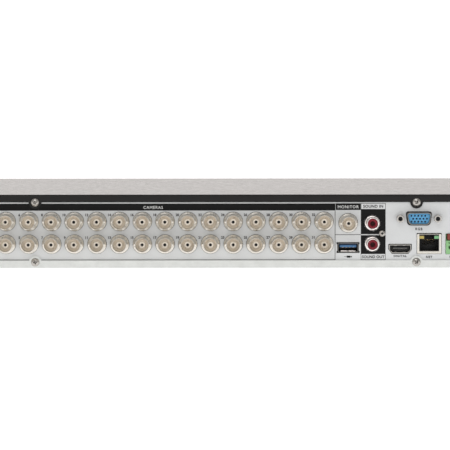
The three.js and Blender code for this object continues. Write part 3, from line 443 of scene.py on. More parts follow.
def softened(mesh, width, segments, sharper_than):
    """Bevels the edges that turn by more than an angle in degrees."""
    work = bmesh.new()
    work.from_mesh(mesh)
    limit = math.radians(sharper_than)
    edges = [e for e in work.edges if len(e.link_faces) == 2 and e.calc_face_angle(0) > limit]
    bmesh.ops.bevel(work, geom=edges, offset=width, segments=segments, affect="EDGES", profile=0.5,
                    clamp_overlap=True)
    work.to_mesh(mesh)
    work.free()
    return mesh


def carved(mesh, cutter):
    """The mesh with the cutter's shape taken out of it."""
    body = added("body", mesh)
    tool = added("tool", cutter)
    modifier = body.modifiers.new("carve", "BOOLEAN")
    modifier.operation = "DIFFERENCE"
    modifier.solver = "EXACT"
    modifier.object = tool
    made = evaluated(body)
    bpy.data.objects.remove(tool)
    return cleaned(made)


def piece(name, mesh, slot, matrix=WORLD, body=CASE, replaces=(), finish=None):
    """Adds a finished piece of the recorder, drawn in millimetres, to one of its bodies."""
    copy = moved(mesh, Matrix.Scale(MM, 4) @ matrix)
    copy.polygons.foreach_set("use_smooth", [True] * len(copy.polygons))
    copy.set_sharp_from_angle(angle=math.radians(SHARP_FROM))
    copy.materials.clear()
    copy.materials.append(FINISHES[finish or slot])
    obj = added(name, copy)
    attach(obj, body)
    if replaces:
        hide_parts(*replaces)


# ---------- outlines
def circle(x, y, radius, count=40):
    angles = [2 * math.pi * i / count for i in range(count)]
    return [(x + radius * math.cos(a), y + radius * math.sin(a)) for a in angles]


def rounded(corners, radius, steps=5):
    """A closed outline through corners, each turned by an arc-like curve that starts radius before it."""
    outline = []
    count = len(corners)
    for i, corner in enumerate(corners):
        here = Vector(corner)
        before = Vector(corners[i - 1]) - here
        after = Vector(corners[(i + 1) % count]) - here
        start = here + before.normalized() * radius
        end = here + after.normalized() * radius
        for step in range(steps + 1):
            t = step / steps
            point = start * (1 - t) ** 2 + here * 2 * t * (1 - t) + end * t ** 2
            outline.append((point.x, point.y))
    return outline


def rectangle(x, y, width, height, radius=0.3, steps=3):
    w, h = width / 2, height / 2
    corners = [(x - w, y - h), (x + w, y - h), (x + w, y + h), (x - w, y + h)]
    return rounded(corners, radius, steps) if radius else corners


def display_outline(u, z, grow):
    """The D shape of the display port: wide side up."""
    top, bottom, half = 8.2 + grow, 6.8 + grow, 3.95 + grow
    corners = [(u - bottom, z - half), (u + bottom, z - half), (u + top, z + half), (u - top, z + half)]
    return rounded(corners, 2.3, 6)


def hdmi_outline(u, z, grow, radius=0.5):
    w, foot, h, shoulder = 7.3 + grow, 5.2 + grow * 0.6, 2.85 + grow, 0.6 - grow * 0.4
    corners = [(u - foot, z - h), (u + foot, z - h), (u + w, z - shoulder), (u + w, z + h), (u - w, z + h),
               (u - w, z - shoulder)]
    return rounded(corners, radius, 3)


TAB_RADIUS = 4.2
TAB_FLARE = 1.6


def lip_outline(half, root, edge, screws):
    """A lip from its root to its edge, with a round tab about each screw that flares into the edge."""
    way = 1 if edge > root else -1
    outline = [(-half, root), (-half, edge)]
    for u, z in sorted(screws):
        reach = TAB_RADIUS + TAB_FLARE
        outline.append((u - reach, edge))
        for step in range(1, 5):
            t = step / 5
            outline.append((u - reach + TAB_FLARE * t, edge + way * abs(z - edge) * 0.35 * t * t))
        for step in range(17):
            angle = math.pi * (step / 16)
            drop = max(0.12, math.sin(angle))
            x = u - TAB_RADIUS * math.cos(angle)
            outline.append((x, z + way * TAB_RADIUS * drop if way * (z - edge) < 0.8 else z + way * drop))
        for step in range(4, 0, -1):
            t = step / 5
            outline.append((u + reach - TAB_FLARE * t, edge + way * abs(z - edge) * 0.35 * t * t))
        outline.append((u + reach, edge))
    outline += [(half, edge), (half, root)]
    return outline


# ---------- enclosure
LIP_HEIGHT = 5.1
BEND = 1.5
SCREW_HOLE = 1.75
# The vents down each side: the middle of a group and how many slots it has.
VENTS = ((-60, 7), (52, 9))
VENT_PITCH = 6.4
VENT_WIDTH = 3.2
VENT_HEIGHT = 22
VENT_Z = 30.4


def make_cover():
    half, top, bottom = COVER_HIGH.x, COVER_HIGH.z, COVER_LOW.z
    front, rear = COVER_LOW.y, COVER_HIGH.y

    def arch(inset, rounding):
        x, z = half - inset - rounding, top - inset - rounding
        angles = [math.pi / 2 * i / 8 for i in range(9)]
        arc = [(x + rounding * math.sin(a), z + rounding * math.cos(a)) for a in angles]
        return arc + [(half - inset, bottom)]

    right = arch(0, 2.0) + arch(SHEET, 1.2)[::-1]
    mirrored = [(-x, z) for x, z in right[::-1]]
    section = mirrored[len(mirrored) // 2:] + right + mirrored[:len(mirrored) // 2]
    hood = drawn([section], rear - BEND - front, base=-(rear - BEND))
    hood.transform(facing((1, 0, 0), (0, 0, 1), (0, -1, 0)))
    holes = []
    for middle, count in VENTS:
        for i in range(count):
            y = middle + (i - (count - 1) / 2) * VENT_PITCH
            holes.append(rectangle(y, VENT_Z, VENT_WIDTH, VENT_HEIGHT, VENT_WIDTH / 2 - 0.01, 6))
    for node in SIDE_SCREWS[:2]:
        middle = centre(node)
        holes.append(circle(middle.y, middle.z, SCREW_HOLE, 24))
    cutter = merged(*[drawn([hole], 2 * half + 20, base=-half - 10) for hole in holes])
    cutter.transform(SIDEWAYS)
    hood = carved(hood, cutter)

    across = half - 0.15

    def bent(radius):
        angles = [math.pi / 2 * i / 6 for i in range(7)]
        return [(rear - BEND + radius * math.sin(a), top - BEND + radius * math.cos(a)) for a in angles]

    bend = drawn([bent(BEND) + bent(BEND - SHEET)[::-1]], 2 * across, base=-across)
    bend.transform(SIDEWAYS)
    screws = [place(node) for node in LIP_SCREWS[:2]]
    outline = lip_outline(across, top - BEND, top - LIP_HEIGHT, screws)
    holes = [circle(u, z, SCREW_HOLE, 24) for u, z in screws]
    lip = drawn([outline] + holes, SHEET, base=LIP_OUT - SHEET)
    lip.transform(REAR)
    piece("top_cover_shell", merged(hood, bend, lip), "cover_paint", replaces=["top_cover"])


HDMI_DROP = 0.3
LAN_HOLE = (15.2, 29.2)
LAN_FRAME = (15.45, 28.6)


def make_panel():
    half = PANEL_HIGH.x
    usb, vga, hdmi = place("usb_shell"), place("vga_shell"), place("hdmi_shell")
    lan, terminal, switch = place("lan_shell"), centre("terminal_block"), place("switch_housing")
    edge = rectangle(0, (PANEL_LOW.z + PANEL_HIGH.z) / 2, 2 * half, PANEL_HIGH.z - PANEL_LOW.z, 0.6)
    holes = [circle(u, z, COAX_HOLE) for u in COLUMN_U for z in COAX_ROWS]
    holes += [circle(*VIDEO_OUT, COAX_HOLE)]
    holes += [circle(AUDIO_U, z, 5.3) for z in AUDIO_ROWS]
    holes += [circle(*place(node), SCREW_HOLE, 24) for node in LIP_SCREWS]
    holes += [circle(*place(f"vga_nut_{side}"), SCREW_HOLE, 24) for side in ("left", "right")]
    holes += [circle(*place("audio_block_screw"), 1.5, 24), circle(*place("ground_screw"), SCREW_HOLE, 24)]
    holes += [circle(*DC_SOCKET, 5.6)]
    terminal_low, terminal_high = span("terminal_block")
    terminal_width = (terminal_high - terminal_low).x
    half_wide, half_high, notch, ear = 7.2, 3.6, 1.4, 0.5
    left, right, foot, top = usb[0] - half_wide, usb[0] + half_wide, usb[1] - half_high, usb[1] + half_high
    port = [(left - ear, foot), (right + ear, foot), (right + ear, foot + notch), (right, foot + notch),
            (right, top - notch), (right + ear, top - notch), (right + ear, top), (left - ear, top),
            (left - ear, top - notch), (left, top - notch), (left, foot + notch), (left - ear, foot + notch)]
    holes += [
        port,
        display_outline(*vga, 0.8),
        hdmi_outline(hdmi[0], hdmi[1] - HDMI_DROP, 0.5, 0.4),
        rectangle(lan[0], (LAN_HOLE[0] + LAN_HOLE[1]) / 2, 16.7, LAN_HOLE[1] - LAN_HOLE[0]),
        rectangle(-terminal.x, 21.9, terminal_width + 0.4, 13.8),
        rectangle(*switch, 13.4, 19.4),
    ]
    plate = drawn([edge] + holes, SHEET, base=-SHEET)
    piece("rear_panel_plate", plate, "panel_paint", REAR, replaces=["rear_panel"])


def make_foot(name):
    middle = centre(name)
    low, high = span(name)
    outer, top = (high.x - low.x) / 2, high.z
    groove = outer - 0.35
    profile = [(0, 2.4), (3.4, 2.4), (3.6, 2.2), (3.6, 0.5), (4.0, 0.1), (4.6, 0), (7.2, 0), (7.8, 0.12),
               (8.5, 0.7), (outer, 1.6), (outer, 2.8), (groove, 3.0), (groove, 3.4), (outer, 3.6),
               (outer, top - 0.3), (outer - 0.3, top), (0, top)]
    screw = cross_screw(2.6, 1.5, 1.2, 1.0)
    piece(f"{name}_rubber", turned(profile, 56), "foot_rubber", shift(middle.x, middle.y, 0), replaces=[name])
    down = facing((1, 0, 0), (0, -1, 0), (0, 0, -1), (middle.x, middle.y, 2.35))
    piece(f"{name}_screw", screw, "screw_nickel", down)


# ---------- fasteners
def cross_screw(head, rise, shank, length):
    """A domed head with a cross recess, its underside at height 0 and its shank below."""
    rim = 0.45
    angles = [math.pi / 2 * i / 8 for i in range(8)]
    profile = [(0, -length), (shank * 0.8, -length), (shank, -length + 0.3), (shank, 0), (head - 0.12, 0),
               (head, 0.12)]
    profile += [(head * math.cos(a), rim + (rise - rim) * math.sin(a)) for a in angles] + [(0, rise)]
    body = turned(profile, 40)
    arm, width, depth = head * 0.62, head * 0.2, rise * 1.15
    for angle in (0, 90):
        wing = drawn([rectangle(0, 0, 2 * arm, 2 * width, 0)], depth + 1, base=rise - depth)
        for vertex in wing.vertices:
            if vertex.co.z < rise - depth / 2:
                vertex.co.x *= 0.2
                vertex.co.y *= 0.25
        wing.transform(spin(angle))
        body = carved(body, wing)
    return body


def make_screws():
    lip_screw = cross_screw(2.8, 1.9, 1.4, 6)
    for index, node in enumerate(LIP_SCREWS):
        seat = on_rear(*place(node), LIP_OUT + 0.02) @ spin(17 + 41 * index)
        piece(f"{node}_head", lip_screw, "screw_nickel", seat, replaces=[node])
    side_screw = cross_screw(2.8, 1.85, 1.4, 4)
    for index, node in enumerate(SIDE_SCREWS):
        middle = centre(node)
        side = 1 if middle.x > 0 else -1
        seat = facing((0, side, 0), (0, 0, 1), (side, 0, 0), (side * COVER_HIGH.x, middle.y, middle.z))
        piece(f"{node}_head", side_screw, "screw_nickel", seat @ spin(29 * index), replaces=[node])
    small = cross_screw(2.2, 1.6, 1.2, 6)
    piece("audio_screw_head", small, "screw_nickel", on_rear(*place("audio_block_screw"), 0.05),
          replaces=["audio_block_screw"])
    ground = cross_screw(3.0, 1.9, 1.5, 6)
    washer = turned([(1.6, 0), (4.1, 0), (4.2, 0.1), (4.2, 0.5), (4.1, 0.6), (1.6, 0.6)], 40)
    piece("ground_washer", washer, "screw_nickel", on_rear(*place("ground_screw"), 0.02))
    piece("ground_screw_head", ground, "screw_nickel", on_rear(*place("ground_screw"), 0.1) @ spin(33),
          replaces=["ground_screw"])


# ---------- coax jacks
def coax_parts():
    """Shell, insulator, contact and throat of one bayonet coax jack about its axis; the black throat is
    painted shade.
    """
    tip = COAX_TIP
    shell = turned([
        (4.6, -3), (6.1, -3), (6.1, 0.2), (6.3, 0.4), (6.3, 0.9), (6.1, 1.15), (5.65, 1.25), (5.5, 1.4),
        (5.4, 1.9), (5.0, 2.1), (4.85, 2.3), (4.85, 4.2), (4.6, 4.4), (4.6, 5.2), (4.85, 5.4),
        (4.85, tip - 0.4), (4.75, tip - 0.12), (4.55, tip), (4.4, tip - 0.1), (4.25, tip - 0.5),
        (4.25, -1.2), (4.6, -1.4),
    ], 56)
    lugs = []
    for side in (0, 180):
        lug = turned([(0, 0), (0.95, 0), (0.95, 0.8), (0.75, 1.0), (0, 1.0)], 20)
        lug.transform(spin(side) @ shift(4.7, 0, tip - 3.4) @ spin(90, "Y"))
        lugs.append(lug)
    insulator = turned([
        (1.0, -1), (4.2, -1), (4.2, 7.3), (4.05, 7.4), (3.1, 6.1), (2.95, 6.0), (2.4, 6.1), (2.3, 6.3),
        (2.2, 8.6), (2.0, 9.0), (1.2, 9.1), (1.05, 8.95), (1.0, 8.7),
    ])
    contact = turned([(0, -1), (0.96, -1), (0.96, 6.6), (0.9, 6.7), (0.78, 6.6), (0.75, 5.0), (0, 4.9)], 28)
    throat = turned([(0, 6.75), (0.98, 6.75), (0.98, 8.55), (0.9, 8.6), (0.84, 8.5), (0.8, 6.9),
                     (0, 6.85)], 28)
    return merged(shell, *lugs), insulator, contact, throat


def make_coax():
    shell, insulator, contact, throat = coax_parts()
    offsets = [(i - (COLUMNS_PER_BLOCK - 1) / 2) * COAX_PITCH for i in range(COLUMNS_PER_BLOCK)]

    def eight(mesh):
        return merged(*[moved(mesh, shift(u, z, 0)) for u in offsets for z in COAX_ROWS])

    shells, insulators, contacts, throats = eight(shell), eight(insulator), eight(contact), eight(throat)
    half = (BLOCK_HIGH.x - BLOCK_LOW.x) / 2
    back = BLOCK_LOW.y - PANEL_Y
    floor, top = BLOCK_LOW.z, BLOCK_HIGH.z
    rib_middles = [(i - 1) * COAX_PITCH for i in range(3)]
    ribs = boxes_along(rib_middles, 0.5, (floor + 1, top - 1), (back, back + 3), 0.1)
    housing = merged(soft_box((-half, half), (floor, top), (back, BEHIND), 0.5), *ribs)
    for node in BLOCKS:
        seat = on_rear(-centre(node).x, 0)
        piece(f"{node}_shells", shells, "nickel", seat, replaces=[node])
        piece(f"{node}_insulators", insulators, "dielectric", seat)
        piece(f"{node}_contacts", contacts, "gold", seat)
        # The throats are black: painted shade in the contact holes.
        piece(f"{node}_throats", throats, "chip_black", seat)
        piece(f"{node}_housing", housing, "black_plastic", seat)

    seat = on_rear(*VIDEO_OUT)
    piece("video_out_shell", shell, "nickel", seat, replaces=["video_out_jack"])
    piece("video_out_insulator", insulator, "dielectric", seat)
    piece("video_out_contact", contact, "gold", seat)
    # The throat is black: painted shade in the contact hole.
    piece("video_out_throat", throat, "chip_black", seat)
    body = upright(7, COAX_DROP, (-23, BEHIND), 0.4)
    leg = soft_box((-7, 7), (span("video_out_jack")[0].z - VIDEO_OUT[1], -6), (-23, -19.5), 0.3)
    piece("video_out_housing", merged(body, leg), "black_plastic", seat)


# ---------- audio jacks
def make_audio():
    low, high = span("audio_jack_block")
    tip = high.y - PANEL_Y
    flange = turned([
        (3.3, -0.9), (4.95, -0.9), (4.95, 0.5), (4.75, 0.8), (4.35, 0.85), (4.15, 1.0), (4.15, tip - 0.45),
        (3.95, tip - 0.1), (3.7, tip), (3.5, tip - 0.1), (3.4, tip - 0.4), (3.4, 0.2),
    ], 56)
    notch = soft_box((3.6, 5.4), (-0.55, 0.55), (0.15, 2.0), 0.1)
    flange = carved(flange, merged(*[moved(notch, spin(angle)) for angle in (128, 308)]))
    core = turned([
        (1.65, 0), (3.38, 0), (3.38, tip - 0.9), (3.15, tip - 0.6), (2.9, tip - 0.55), (2.2, tip - 0.6),
        (1.9, tip - 1.0), (1.65, tip - 1.1),
    ])
    socket = turned([(0, 0.2), (1.6, 0.2), (1.6, tip - 1.0), (1.45, tip - 1.0), (1.4, tip - 2.4),
                     (0, tip - 2.6)], 32)
    for name, z in zip(("low", "high"), AUDIO_ROWS):
        seat = on_rear(AUDIO_U, z)
        piece(f"audio_{name}_shell", flange, "screw_nickel", seat, finish="pale_nickel")
        piece(f"audio_{name}_insulator", core, "audio_red", seat)
        # The socket inside the red core is a darker red: painted shade in the hole.
        piece(f"audio_{name}_socket", socket, "audio_red", seat, finish="painted_shade_red")
    body = soft_box((-AUDIO_HALF, AUDIO_HALF), (low.z, high.z), (low.y - PANEL_Y, BEHIND), 0.4)
    ear_u, ear_z = place("audio_block_screw")
    ear_u -= AUDIO_U
    ear = soft_box((ear_u - 3, ear_u + 3), (ear_z - 3.5, ear_z + 3.5), (-9, BEHIND), 0.4)
    piece("audio_housing", merged(body, ear), "black_plastic", on_rear(AUDIO_U, 0),
          replaces=["audio_jack_block"])


# ---------- sockets
def ring(outer, inner, base, depth, bevel=0.1):
    return drawn([outer, inner], depth, bevel, base)


def make_usb():
    u, z = place("usb_shell")
    width, height, depth, wall = 13.6, 6.2, 17.6, 0.3
    inner_w, inner_h = width - 2 * wall, height - 2 * wall
    shell = ring(rectangle(0, 0, width, height, 0.5), rectangle(0, 0, inner_w, inner_h), 0.6 - depth, depth)
    springs = boxes_along((-2.6, 2.6), 2.4, (wall - height / 2, 1.15 - height / 2), (-5, -0.4), 0.3)
    seat = on_rear(u, z)
    piece("usb_rear_shell", shell, "port_steel", seat, replaces=["usb_shell"], finish="shadow_steel")
    piece("usb_rear_springs", merged(*springs), "port_steel", seat, finish="pale_nickel")
    tongue = soft_box((-5.55, 5.55), (0.15, 1.6), (-13, -1), 0.12)
    roof = soft_box((-6.2, 6.2), (1.6, 2.6), (-13, -2.2), 0.1)
    play = 0.3
    plug = upright((inner_w - play) / 2, (inner_h - play) / 2, (-16.5, -12.5))
    piece("usb_rear_core", tongue, "port_blue", seat, replaces=["usb_core"])
    # The roof above the tongue is a darker blue: painted shade in the top of the opening.
    piece("usb_rear_roof", roof, "port_blue", seat, finish="painted_shade_blue")
    # The blue plug at the back is finished black: painted shade in the lower half of the opening.
    piece("usb_rear_plug", plug, "port_blue", seat, finish="black_plastic")
    pads = boxes_along((-3.5, -1.1, 1.1, 3.5), 0.5, (0.02, 0.2), (-8.6, -1.6), 0.04)
    pads += boxes_along((-4, -2, 0, 2, 4), 0.3, (-0.02, 0.2), (-9.2, -6.5), 0.04)
    piece("usb_rear_contacts", merged(*pads), "gold", seat)


def make_display_port():
    u, z = place("vga_shell")
    reach = span("vga_shell")[1].y - PANEL_Y
    root = SHEET + 1.0
    seat = on_rear(u, z)
    shell = ring(display_outline(0, 0, 0), display_outline(0, 0, -0.42), -root, reach + root, 0.15)
    nut_holes = [circle(place(f"vga_nut_{side}")[0] - u, 0, 1.8, 24) for side in ("left", "right")]
    flange = drawn([rectangle(0, 0, 30.8, 12.4, 1.2), display_outline(0, 0, -0.3)] + nut_holes, 0.5,
                   base=-SHEET - 0.95)
    dimple = turned([(0, 0), (0.55, 0), (0.45, 0.12), (0, 0.2)], 16)
    dimples = [moved(dimple, shift(x, 3.93, reach - 2.2) @ spin(-90, "X")) for x in (-5, 0, 5)]
    piece("display_shell", merged(shell, *dimples), "port_steel", seat, replaces=["vga_shell"],
          finish="shadow_steel")
    # The steel flange behind the panel is finished black: painted shade in the gap round the shell.
    piece("display_flange", flange, "port_steel", seat, finish="black_plastic")
    pitch, row_pitch, stagger = 2.29, 1.98, 0.57
    pins = [((column - 2) * pitch + (stagger if row == 1 else -stagger), (1 - row) * row_pitch)
            for row in range(3) for column in range(5)]
    floor = reach - 4.0
    holes = [circle(x, y, 0.64, 16) for x, y in pins]
    face = drawn([display_outline(0, 0, -0.55)] + holes, 2.4, 0.08, base=floor)
    back = drawn([display_outline(0, 0, -0.8)], 6.0, base=reach - 10.0)
    low = span("vga_insert")[0]
    half_wide, half_high = 9.2, 5.4
    body = upright(half_wide, half_high, (-12, -2.2), 0.3)
    bridge = soft_box((-half_wide, half_wide), (-1, half_high), (-24.5, -10), 0.3)
    legs = soft_box((-half_wide, half_wide), (low.z - z, half_high),
                    (low.y - PANEL_Y, low.y - PANEL_Y + 4.4), 0.3)
    piece("display_insert", merged(face, body, bridge, legs), "vga_blue", seat, replaces=["vga_insert"])
    # The back of the insert, seen through the pin holes, is a darker blue: painted shade in the holes.
    piece("display_insert_depth", back, "vga_blue", seat, finish="painted_shade_blue")
    contact = turned([(0, 0), (0.6, 0), (0.6, 1.0), (0.36, 1.0), (0.33, 0.3), (0, 0.2)], 14)
    contacts = [moved(contact, shift(x, y, floor)) for x, y in pins]
    # The contacts are a darker blue: painted shade deep in the pin holes.
    piece("display_contacts", merged(*contacts), "port_blue", seat, finish="painted_shade_blue")
    hexagon = drawn([circle(0, 0, 2.75, 6), circle(0, 0, 1.45, 24)], 4.75, 0.2, base=0.05)
    outer_thread = [(1.48 - 0.16 * (i % 2), 0.5 + 0.25 * i) for i in range(17)]
    inner_thread = [(1.30 - 0.14 * (i % 2), 4.3 - 0.25 * i) for i in range(12)]
    thread = turned([(0, -2.6), (1.25, -2.6), (1.25, 0.2), (1.5, 0.3), *outer_thread, (1.5, 4.6), (1.36, 4.6),
                     *inner_thread, (0, 1.3)], 24)
    for node in ("vga_nut_left", "vga_nut_right"):
        seat = on_rear(*place(node))
        piece(f"{node}_body", hexagon, "screw_nickel", seat @ spin(30), replaces=[node])
        # The thread inside each nut is black: painted shade in the threaded hole.
        piece(f"{node}_thread", thread, "chip_black", seat)


def make_hdmi():
    u, z = place("hdmi_shell")
    seat = on_rear(u, z - HDMI_DROP)
    shell = ring(hdmi_outline(0, 0, 0), hdmi_outline(0, 0, -0.45, 0.3), -11, 11.5, 0.1)
    springs = [soft_box((x - 0.8, x + 0.8), (y - 0.1, y + 0.1), (-6, -0.7), 0.06)
               for x in (-2.8, 2.8) for y in (2.2, -2.2)]
    piece("hdmi_rear_shell", merged(shell, *springs), "port_steel", seat, replaces=["hdmi_shell"],
          finish="dark_steel")
    plug = drawn([hdmi_outline(0, 0, -0.7, 0.3)], 3.2, base=-10.8)
    tongue = soft_box((-4.9, 4.9), (0.1, 1.3), (-7.8, -1), 0.1)
    piece("hdmi_rear_tongue", merged(plug, tongue), "black_plastic", seat, replaces=["hdmi_tongue"])
    pads = boxes_along([(i - 9) * 0.5 for i in range(19)], 0.16, (-0.02, 0.14), (-6.5, -1.3), 0.03)
    piece("hdmi_rear_contacts", merged(*pads), "gold", seat, finish="port_steel")


def make_network_port():
    u = place("lan_shell")[0]
    z = (LAN_FRAME[0] + LAN_FRAME[1]) / 2
    seat = on_rear(u, z)
    low, high = span("lan_shell")
    depth = high.y - low.y
    width, height = high.x - low.x, LAN_FRAME[1] - LAN_FRAME[0]
    bottom, top, notch_top = 17.2 - z, 25 - z, 27.8 - z
    half, notch_half = 6.2, 3.2
    opening = [(-half, bottom), (half, bottom), (half, top), (notch_half, top), (notch_half, notch_top),
               (-notch_half, notch_top), (-notch_half, top), (-half, top)]
    rim_low, rim_high = 17.1 - z, LAN_FRAME[1] - 0.35 - z
    outside = rectangle(0, 0, width, height, 0.5)
    window = rectangle(0, (rim_low + rim_high) / 2, width - 3.0, rim_high - rim_low)
    frame_face = ring(outside, window, 0.1, 0.4, 0.08)
    sleeve = ring(outside, rectangle(0, 0, width - 0.7, height - 0.7, 0.4), 0.5 - depth, depth - 0.35, 0.05)
    tabs = boxes_along((-8.05, 8.05), 0.15, (-1.2, 1.2), (-6, -2), 0.08)
    piece("network_shell", merged(frame_face, sleeve, *tabs), "port_steel", seat, replaces=["lan_shell"])
    lamp_u = 5.0
    lamp_holes = [rectangle(middle, 26.3 - z, 3.4, 2.1, 0.2) for middle in (-lamp_u, lamp_u)]
    inside = rectangle(0, 0, width - 1.2, height - 1.2, 0.2)
    face = drawn([inside, opening] + lamp_holes, 1.2, base=-1.1)
    tube = drawn([inside, opening], 11.8, base=-12.9)
    back = upright(width / 2 - 0.6, height / 2 - 0.6, (-20, -12.9), 0.2)
    piece("network_insert", merged(face, tube, back), "chip_black", seat, replaces=["lan_insert"])
    wires = boxes_along([(i - 3.5) * 1.02 for i in range(8)], 0.18, (-0.18, 0.18), (-9.5, 0), 0.06)
    contacts = merged(*wires)
    contacts.transform(shift(0, top - 0.5, -4.0) @ spin(-24, "X"))
    piece("network_contacts", contacts, "gold", seat)
    for middle, slot in ((-lamp_u, "lamp_yellow"), (lamp_u, "lamp_green")):
        lamp = soft_box((middle - 1.65, middle + 1.65), (25.3 - z, 27.3 - z), (-1.6, 0.12), 0.25)
        piece(f"network_{slot}", lamp, slot, seat)


def make_terminal():
    low, high = span("terminal_block")
    left, right = -high.x, -low.x
    bottom, top = 15.2, high.z - 0.2
    shelf, front, pole = top - 4.4, 1.0, 5.2
    well_z = bottom + 4.4
    first = left + 0.4
    middles = [first + (i + 0.5) * pole for i in range(2)]
    wells = []
    slit = (bottom + 6.9, bottom + 7.9)
    for middle in middles:
        well = turned([(0, -7), (1.15, -7), (1.15, front - 0.5), (1.6, front + 0.3), (0, front + 0.3)], 28)
        wells.append(moved(well, shift(middle, well_z, 0)))
        wells.append(soft_box((middle - 1.2, middle + 1.2), slit, (-1, front + 1), 0.1))
    body = carved(soft_box((left, right), (bottom, shelf), (-12, front), 0.35), merged(*wells))
    walls = ((left, left + 0.3), (first + pole - 0.4, first + pole + 0.4), (right - 0.3, right))
    dividers = [soft_box(wall, (shelf - 0.6, top), (-6, front - 1.6), 0.08) for wall in walls]
    back = soft_box((left, right), (bottom, top), (-12, -5.5), 0.3)
    foot = soft_box((left, right), (low.z, bottom + 1), (-12, BEHIND), 0.2)
    piece("terminal_body", merged(body, back, foot, *dividers), "terminal_green", REAR,
          replaces=["terminal_block"])
    clamp = turned([(0, -6.5), (1.1, -6.5), (1.1, -2.2), (0.8, -2.1), (0.75, -5.5), (0, -5.6)], 20)
    clamps = [moved(clamp, shift(middle, well_z, 0)) for middle in middles]
    piece("terminal_clamps", merged(*clamps), "port_steel", REAR)
    for letter in "ab":
        node = f"terminal_button_{letter}"
        button_low, button_high = span(node)
        u, z = place(node)
        half = (button_high.x - button_low.x) / 2
        reach = (button_low.y - PANEL_Y, button_high.y - PANEL_Y)
        block = soft_box((-half, half), (-half, half), reach, 0.3, 3)
        slot = soft_box((-0.35, 0.35), (-1.2, 1.2), (reach[1] - 0.5, reach[1] + 1), 0.05)
        piece(f"{node}_cap", carved(block, slot), "terminal_red", on_rear(u, z), body=node, replaces=[node])


def make_power_inlet():
    seat = on_rear(*DC_SOCKET)
    height = (DC_LOW.z - DC_SOCKET[1], DC_HALF)
    housing = soft_box((-DC_HALF, DC_HALF), height, (DC_LOW.y - PANEL_Y, BEHIND), 0.4)
    housing = carved(housing, turned([(0, -12), (3.15, -12), (3.15, 3), (0, 3)], 36))
    nose = turned([(3.15, -1.2), (5.2, -1.2), (5.2, 0.45), (5.0, 0.75), (3.5, 0.8), (3.15, 0.5)])
    piece("power_inlet_body", merged(housing, nose), "black_plastic", seat, replaces=["dc_jack"])
    sleeve = turned([(2.85, -11.5), (3.1, -11.5), (3.1, -0.6), (2.85, -0.6)], 36)
    pin = turned([(0, -11.8), (1.0, -11.8), (1.0, -0.9), (0.7, -0.5), (0, -0.4)], 24)
    piece("power_inlet_pin", merged(sleeve, pin), "port_steel", seat)


# ---------- power switch
def make_switch():
    u, z = place("switch_housing")
    low, high = span("switch_housing")
    seat = on_rear(u, z)
    reach = high.y - PANEL_Y
    bezel = ring(rectangle(0, 0, 15, 21, 1.2, 5), rectangle(0, 0, 10.0, 16.4, 0.6), 0.1, reach - 0.1, 0.35)
    body = carved(upright(6.4, 9.4, (-12.5, -0.6), 0.3), upright(5.0, 8.2, (-8, 4), 0.1))
    piece("switch_body", merged(bezel, body), "black_plastic", seat, replaces=["switch_housing"])
    tails = [soft_box((-2.4, 2.4), (y - 0.4, y + 0.4), (low.y - PANEL_Y, -12), 0.15) for y in (-6, 0, 6)]
    piece("switch_tails", merged(*tails), "port_steel", seat)

    joint = next(j for j in frame["joints"] if j["child"] == "switch_rocker")
    pivot = Vector(joint["pos_m"]) / MM
    rocker_low, rocker_high = span("switch_rocker")
    half_width = (rocker_high.x - rocker_low.x) / 2 - 0.05
    half, crest, dip = 7.05, 4.7, 1.0
    steps = [half * (i / 8 - 1) for i in range(17)]
    face = [(crest - dip * math.cos(math.pi * t / 2 / half) ** 2, t) for t in steps]
    outline = [(-2.5, -half + 1.2)] + face + [(-2.5, half - 1.2)]
    rocker = softened(drawn([outline], 2 * half_width, base=-half_width), 0.22, 2, 50)
    stand = Matrix.Translation(pivot) @ spin(-11, "X")
    piece("rocker_paddle", rocker, "bezel_plastic", stand @ SIDEWAYS, body="switch_rocker",
          replaces=["switch_rocker"])
    on_face = stand @ facing((-1, 0, 0), (0, 0, 1), (0, 1, 0))
    stroke = drawn([rectangle(0, 0, 0.55, 2.6, 0.1)], 0.05)
    loop = drawn([circle(0, 0, 1.25, 28), circle(0, 0, 0.8, 28)], 0.05)
    for mark, side in ((stroke, 1), (loop, -1)):
        mark.transform(shift(0, side * 3.9, 4.29) @ spin(side * 11.8, "X"))
    piece("rocker_marks", merged(stroke, loop), "print_white", on_face, body="switch_rocker")


# ---------- printing on the rear panel
# Widths of the printed lines, and the heights and places of the printed bands and frames.
LINE = 0.35
SIDE_LINE = 0.28
THIN = 0.3
BAND = (44.3, 48.95)
MONITOR_BAND = (44.6, 49.05)
FRAME_LEFT = -PANEL_HIGH.x + 1.4
FRAME_BOTTOM = 11.2
OUT_LEFT, AUDIO_LEFT, AUDIO_RIGHT = 58.9, 75.9, 92.4
MIDDLE_LINE = 28.1
AUDIO_HEAD, AUDIO_FOOT = 45.2, 15.2
AUDIO_TOP = 49.15
AUDIO_RING = 5.35


def bar(u0, u1, z0, z1):
    return [(u0, z0), (u1, z0), (u1, z1), (u0, z1)]


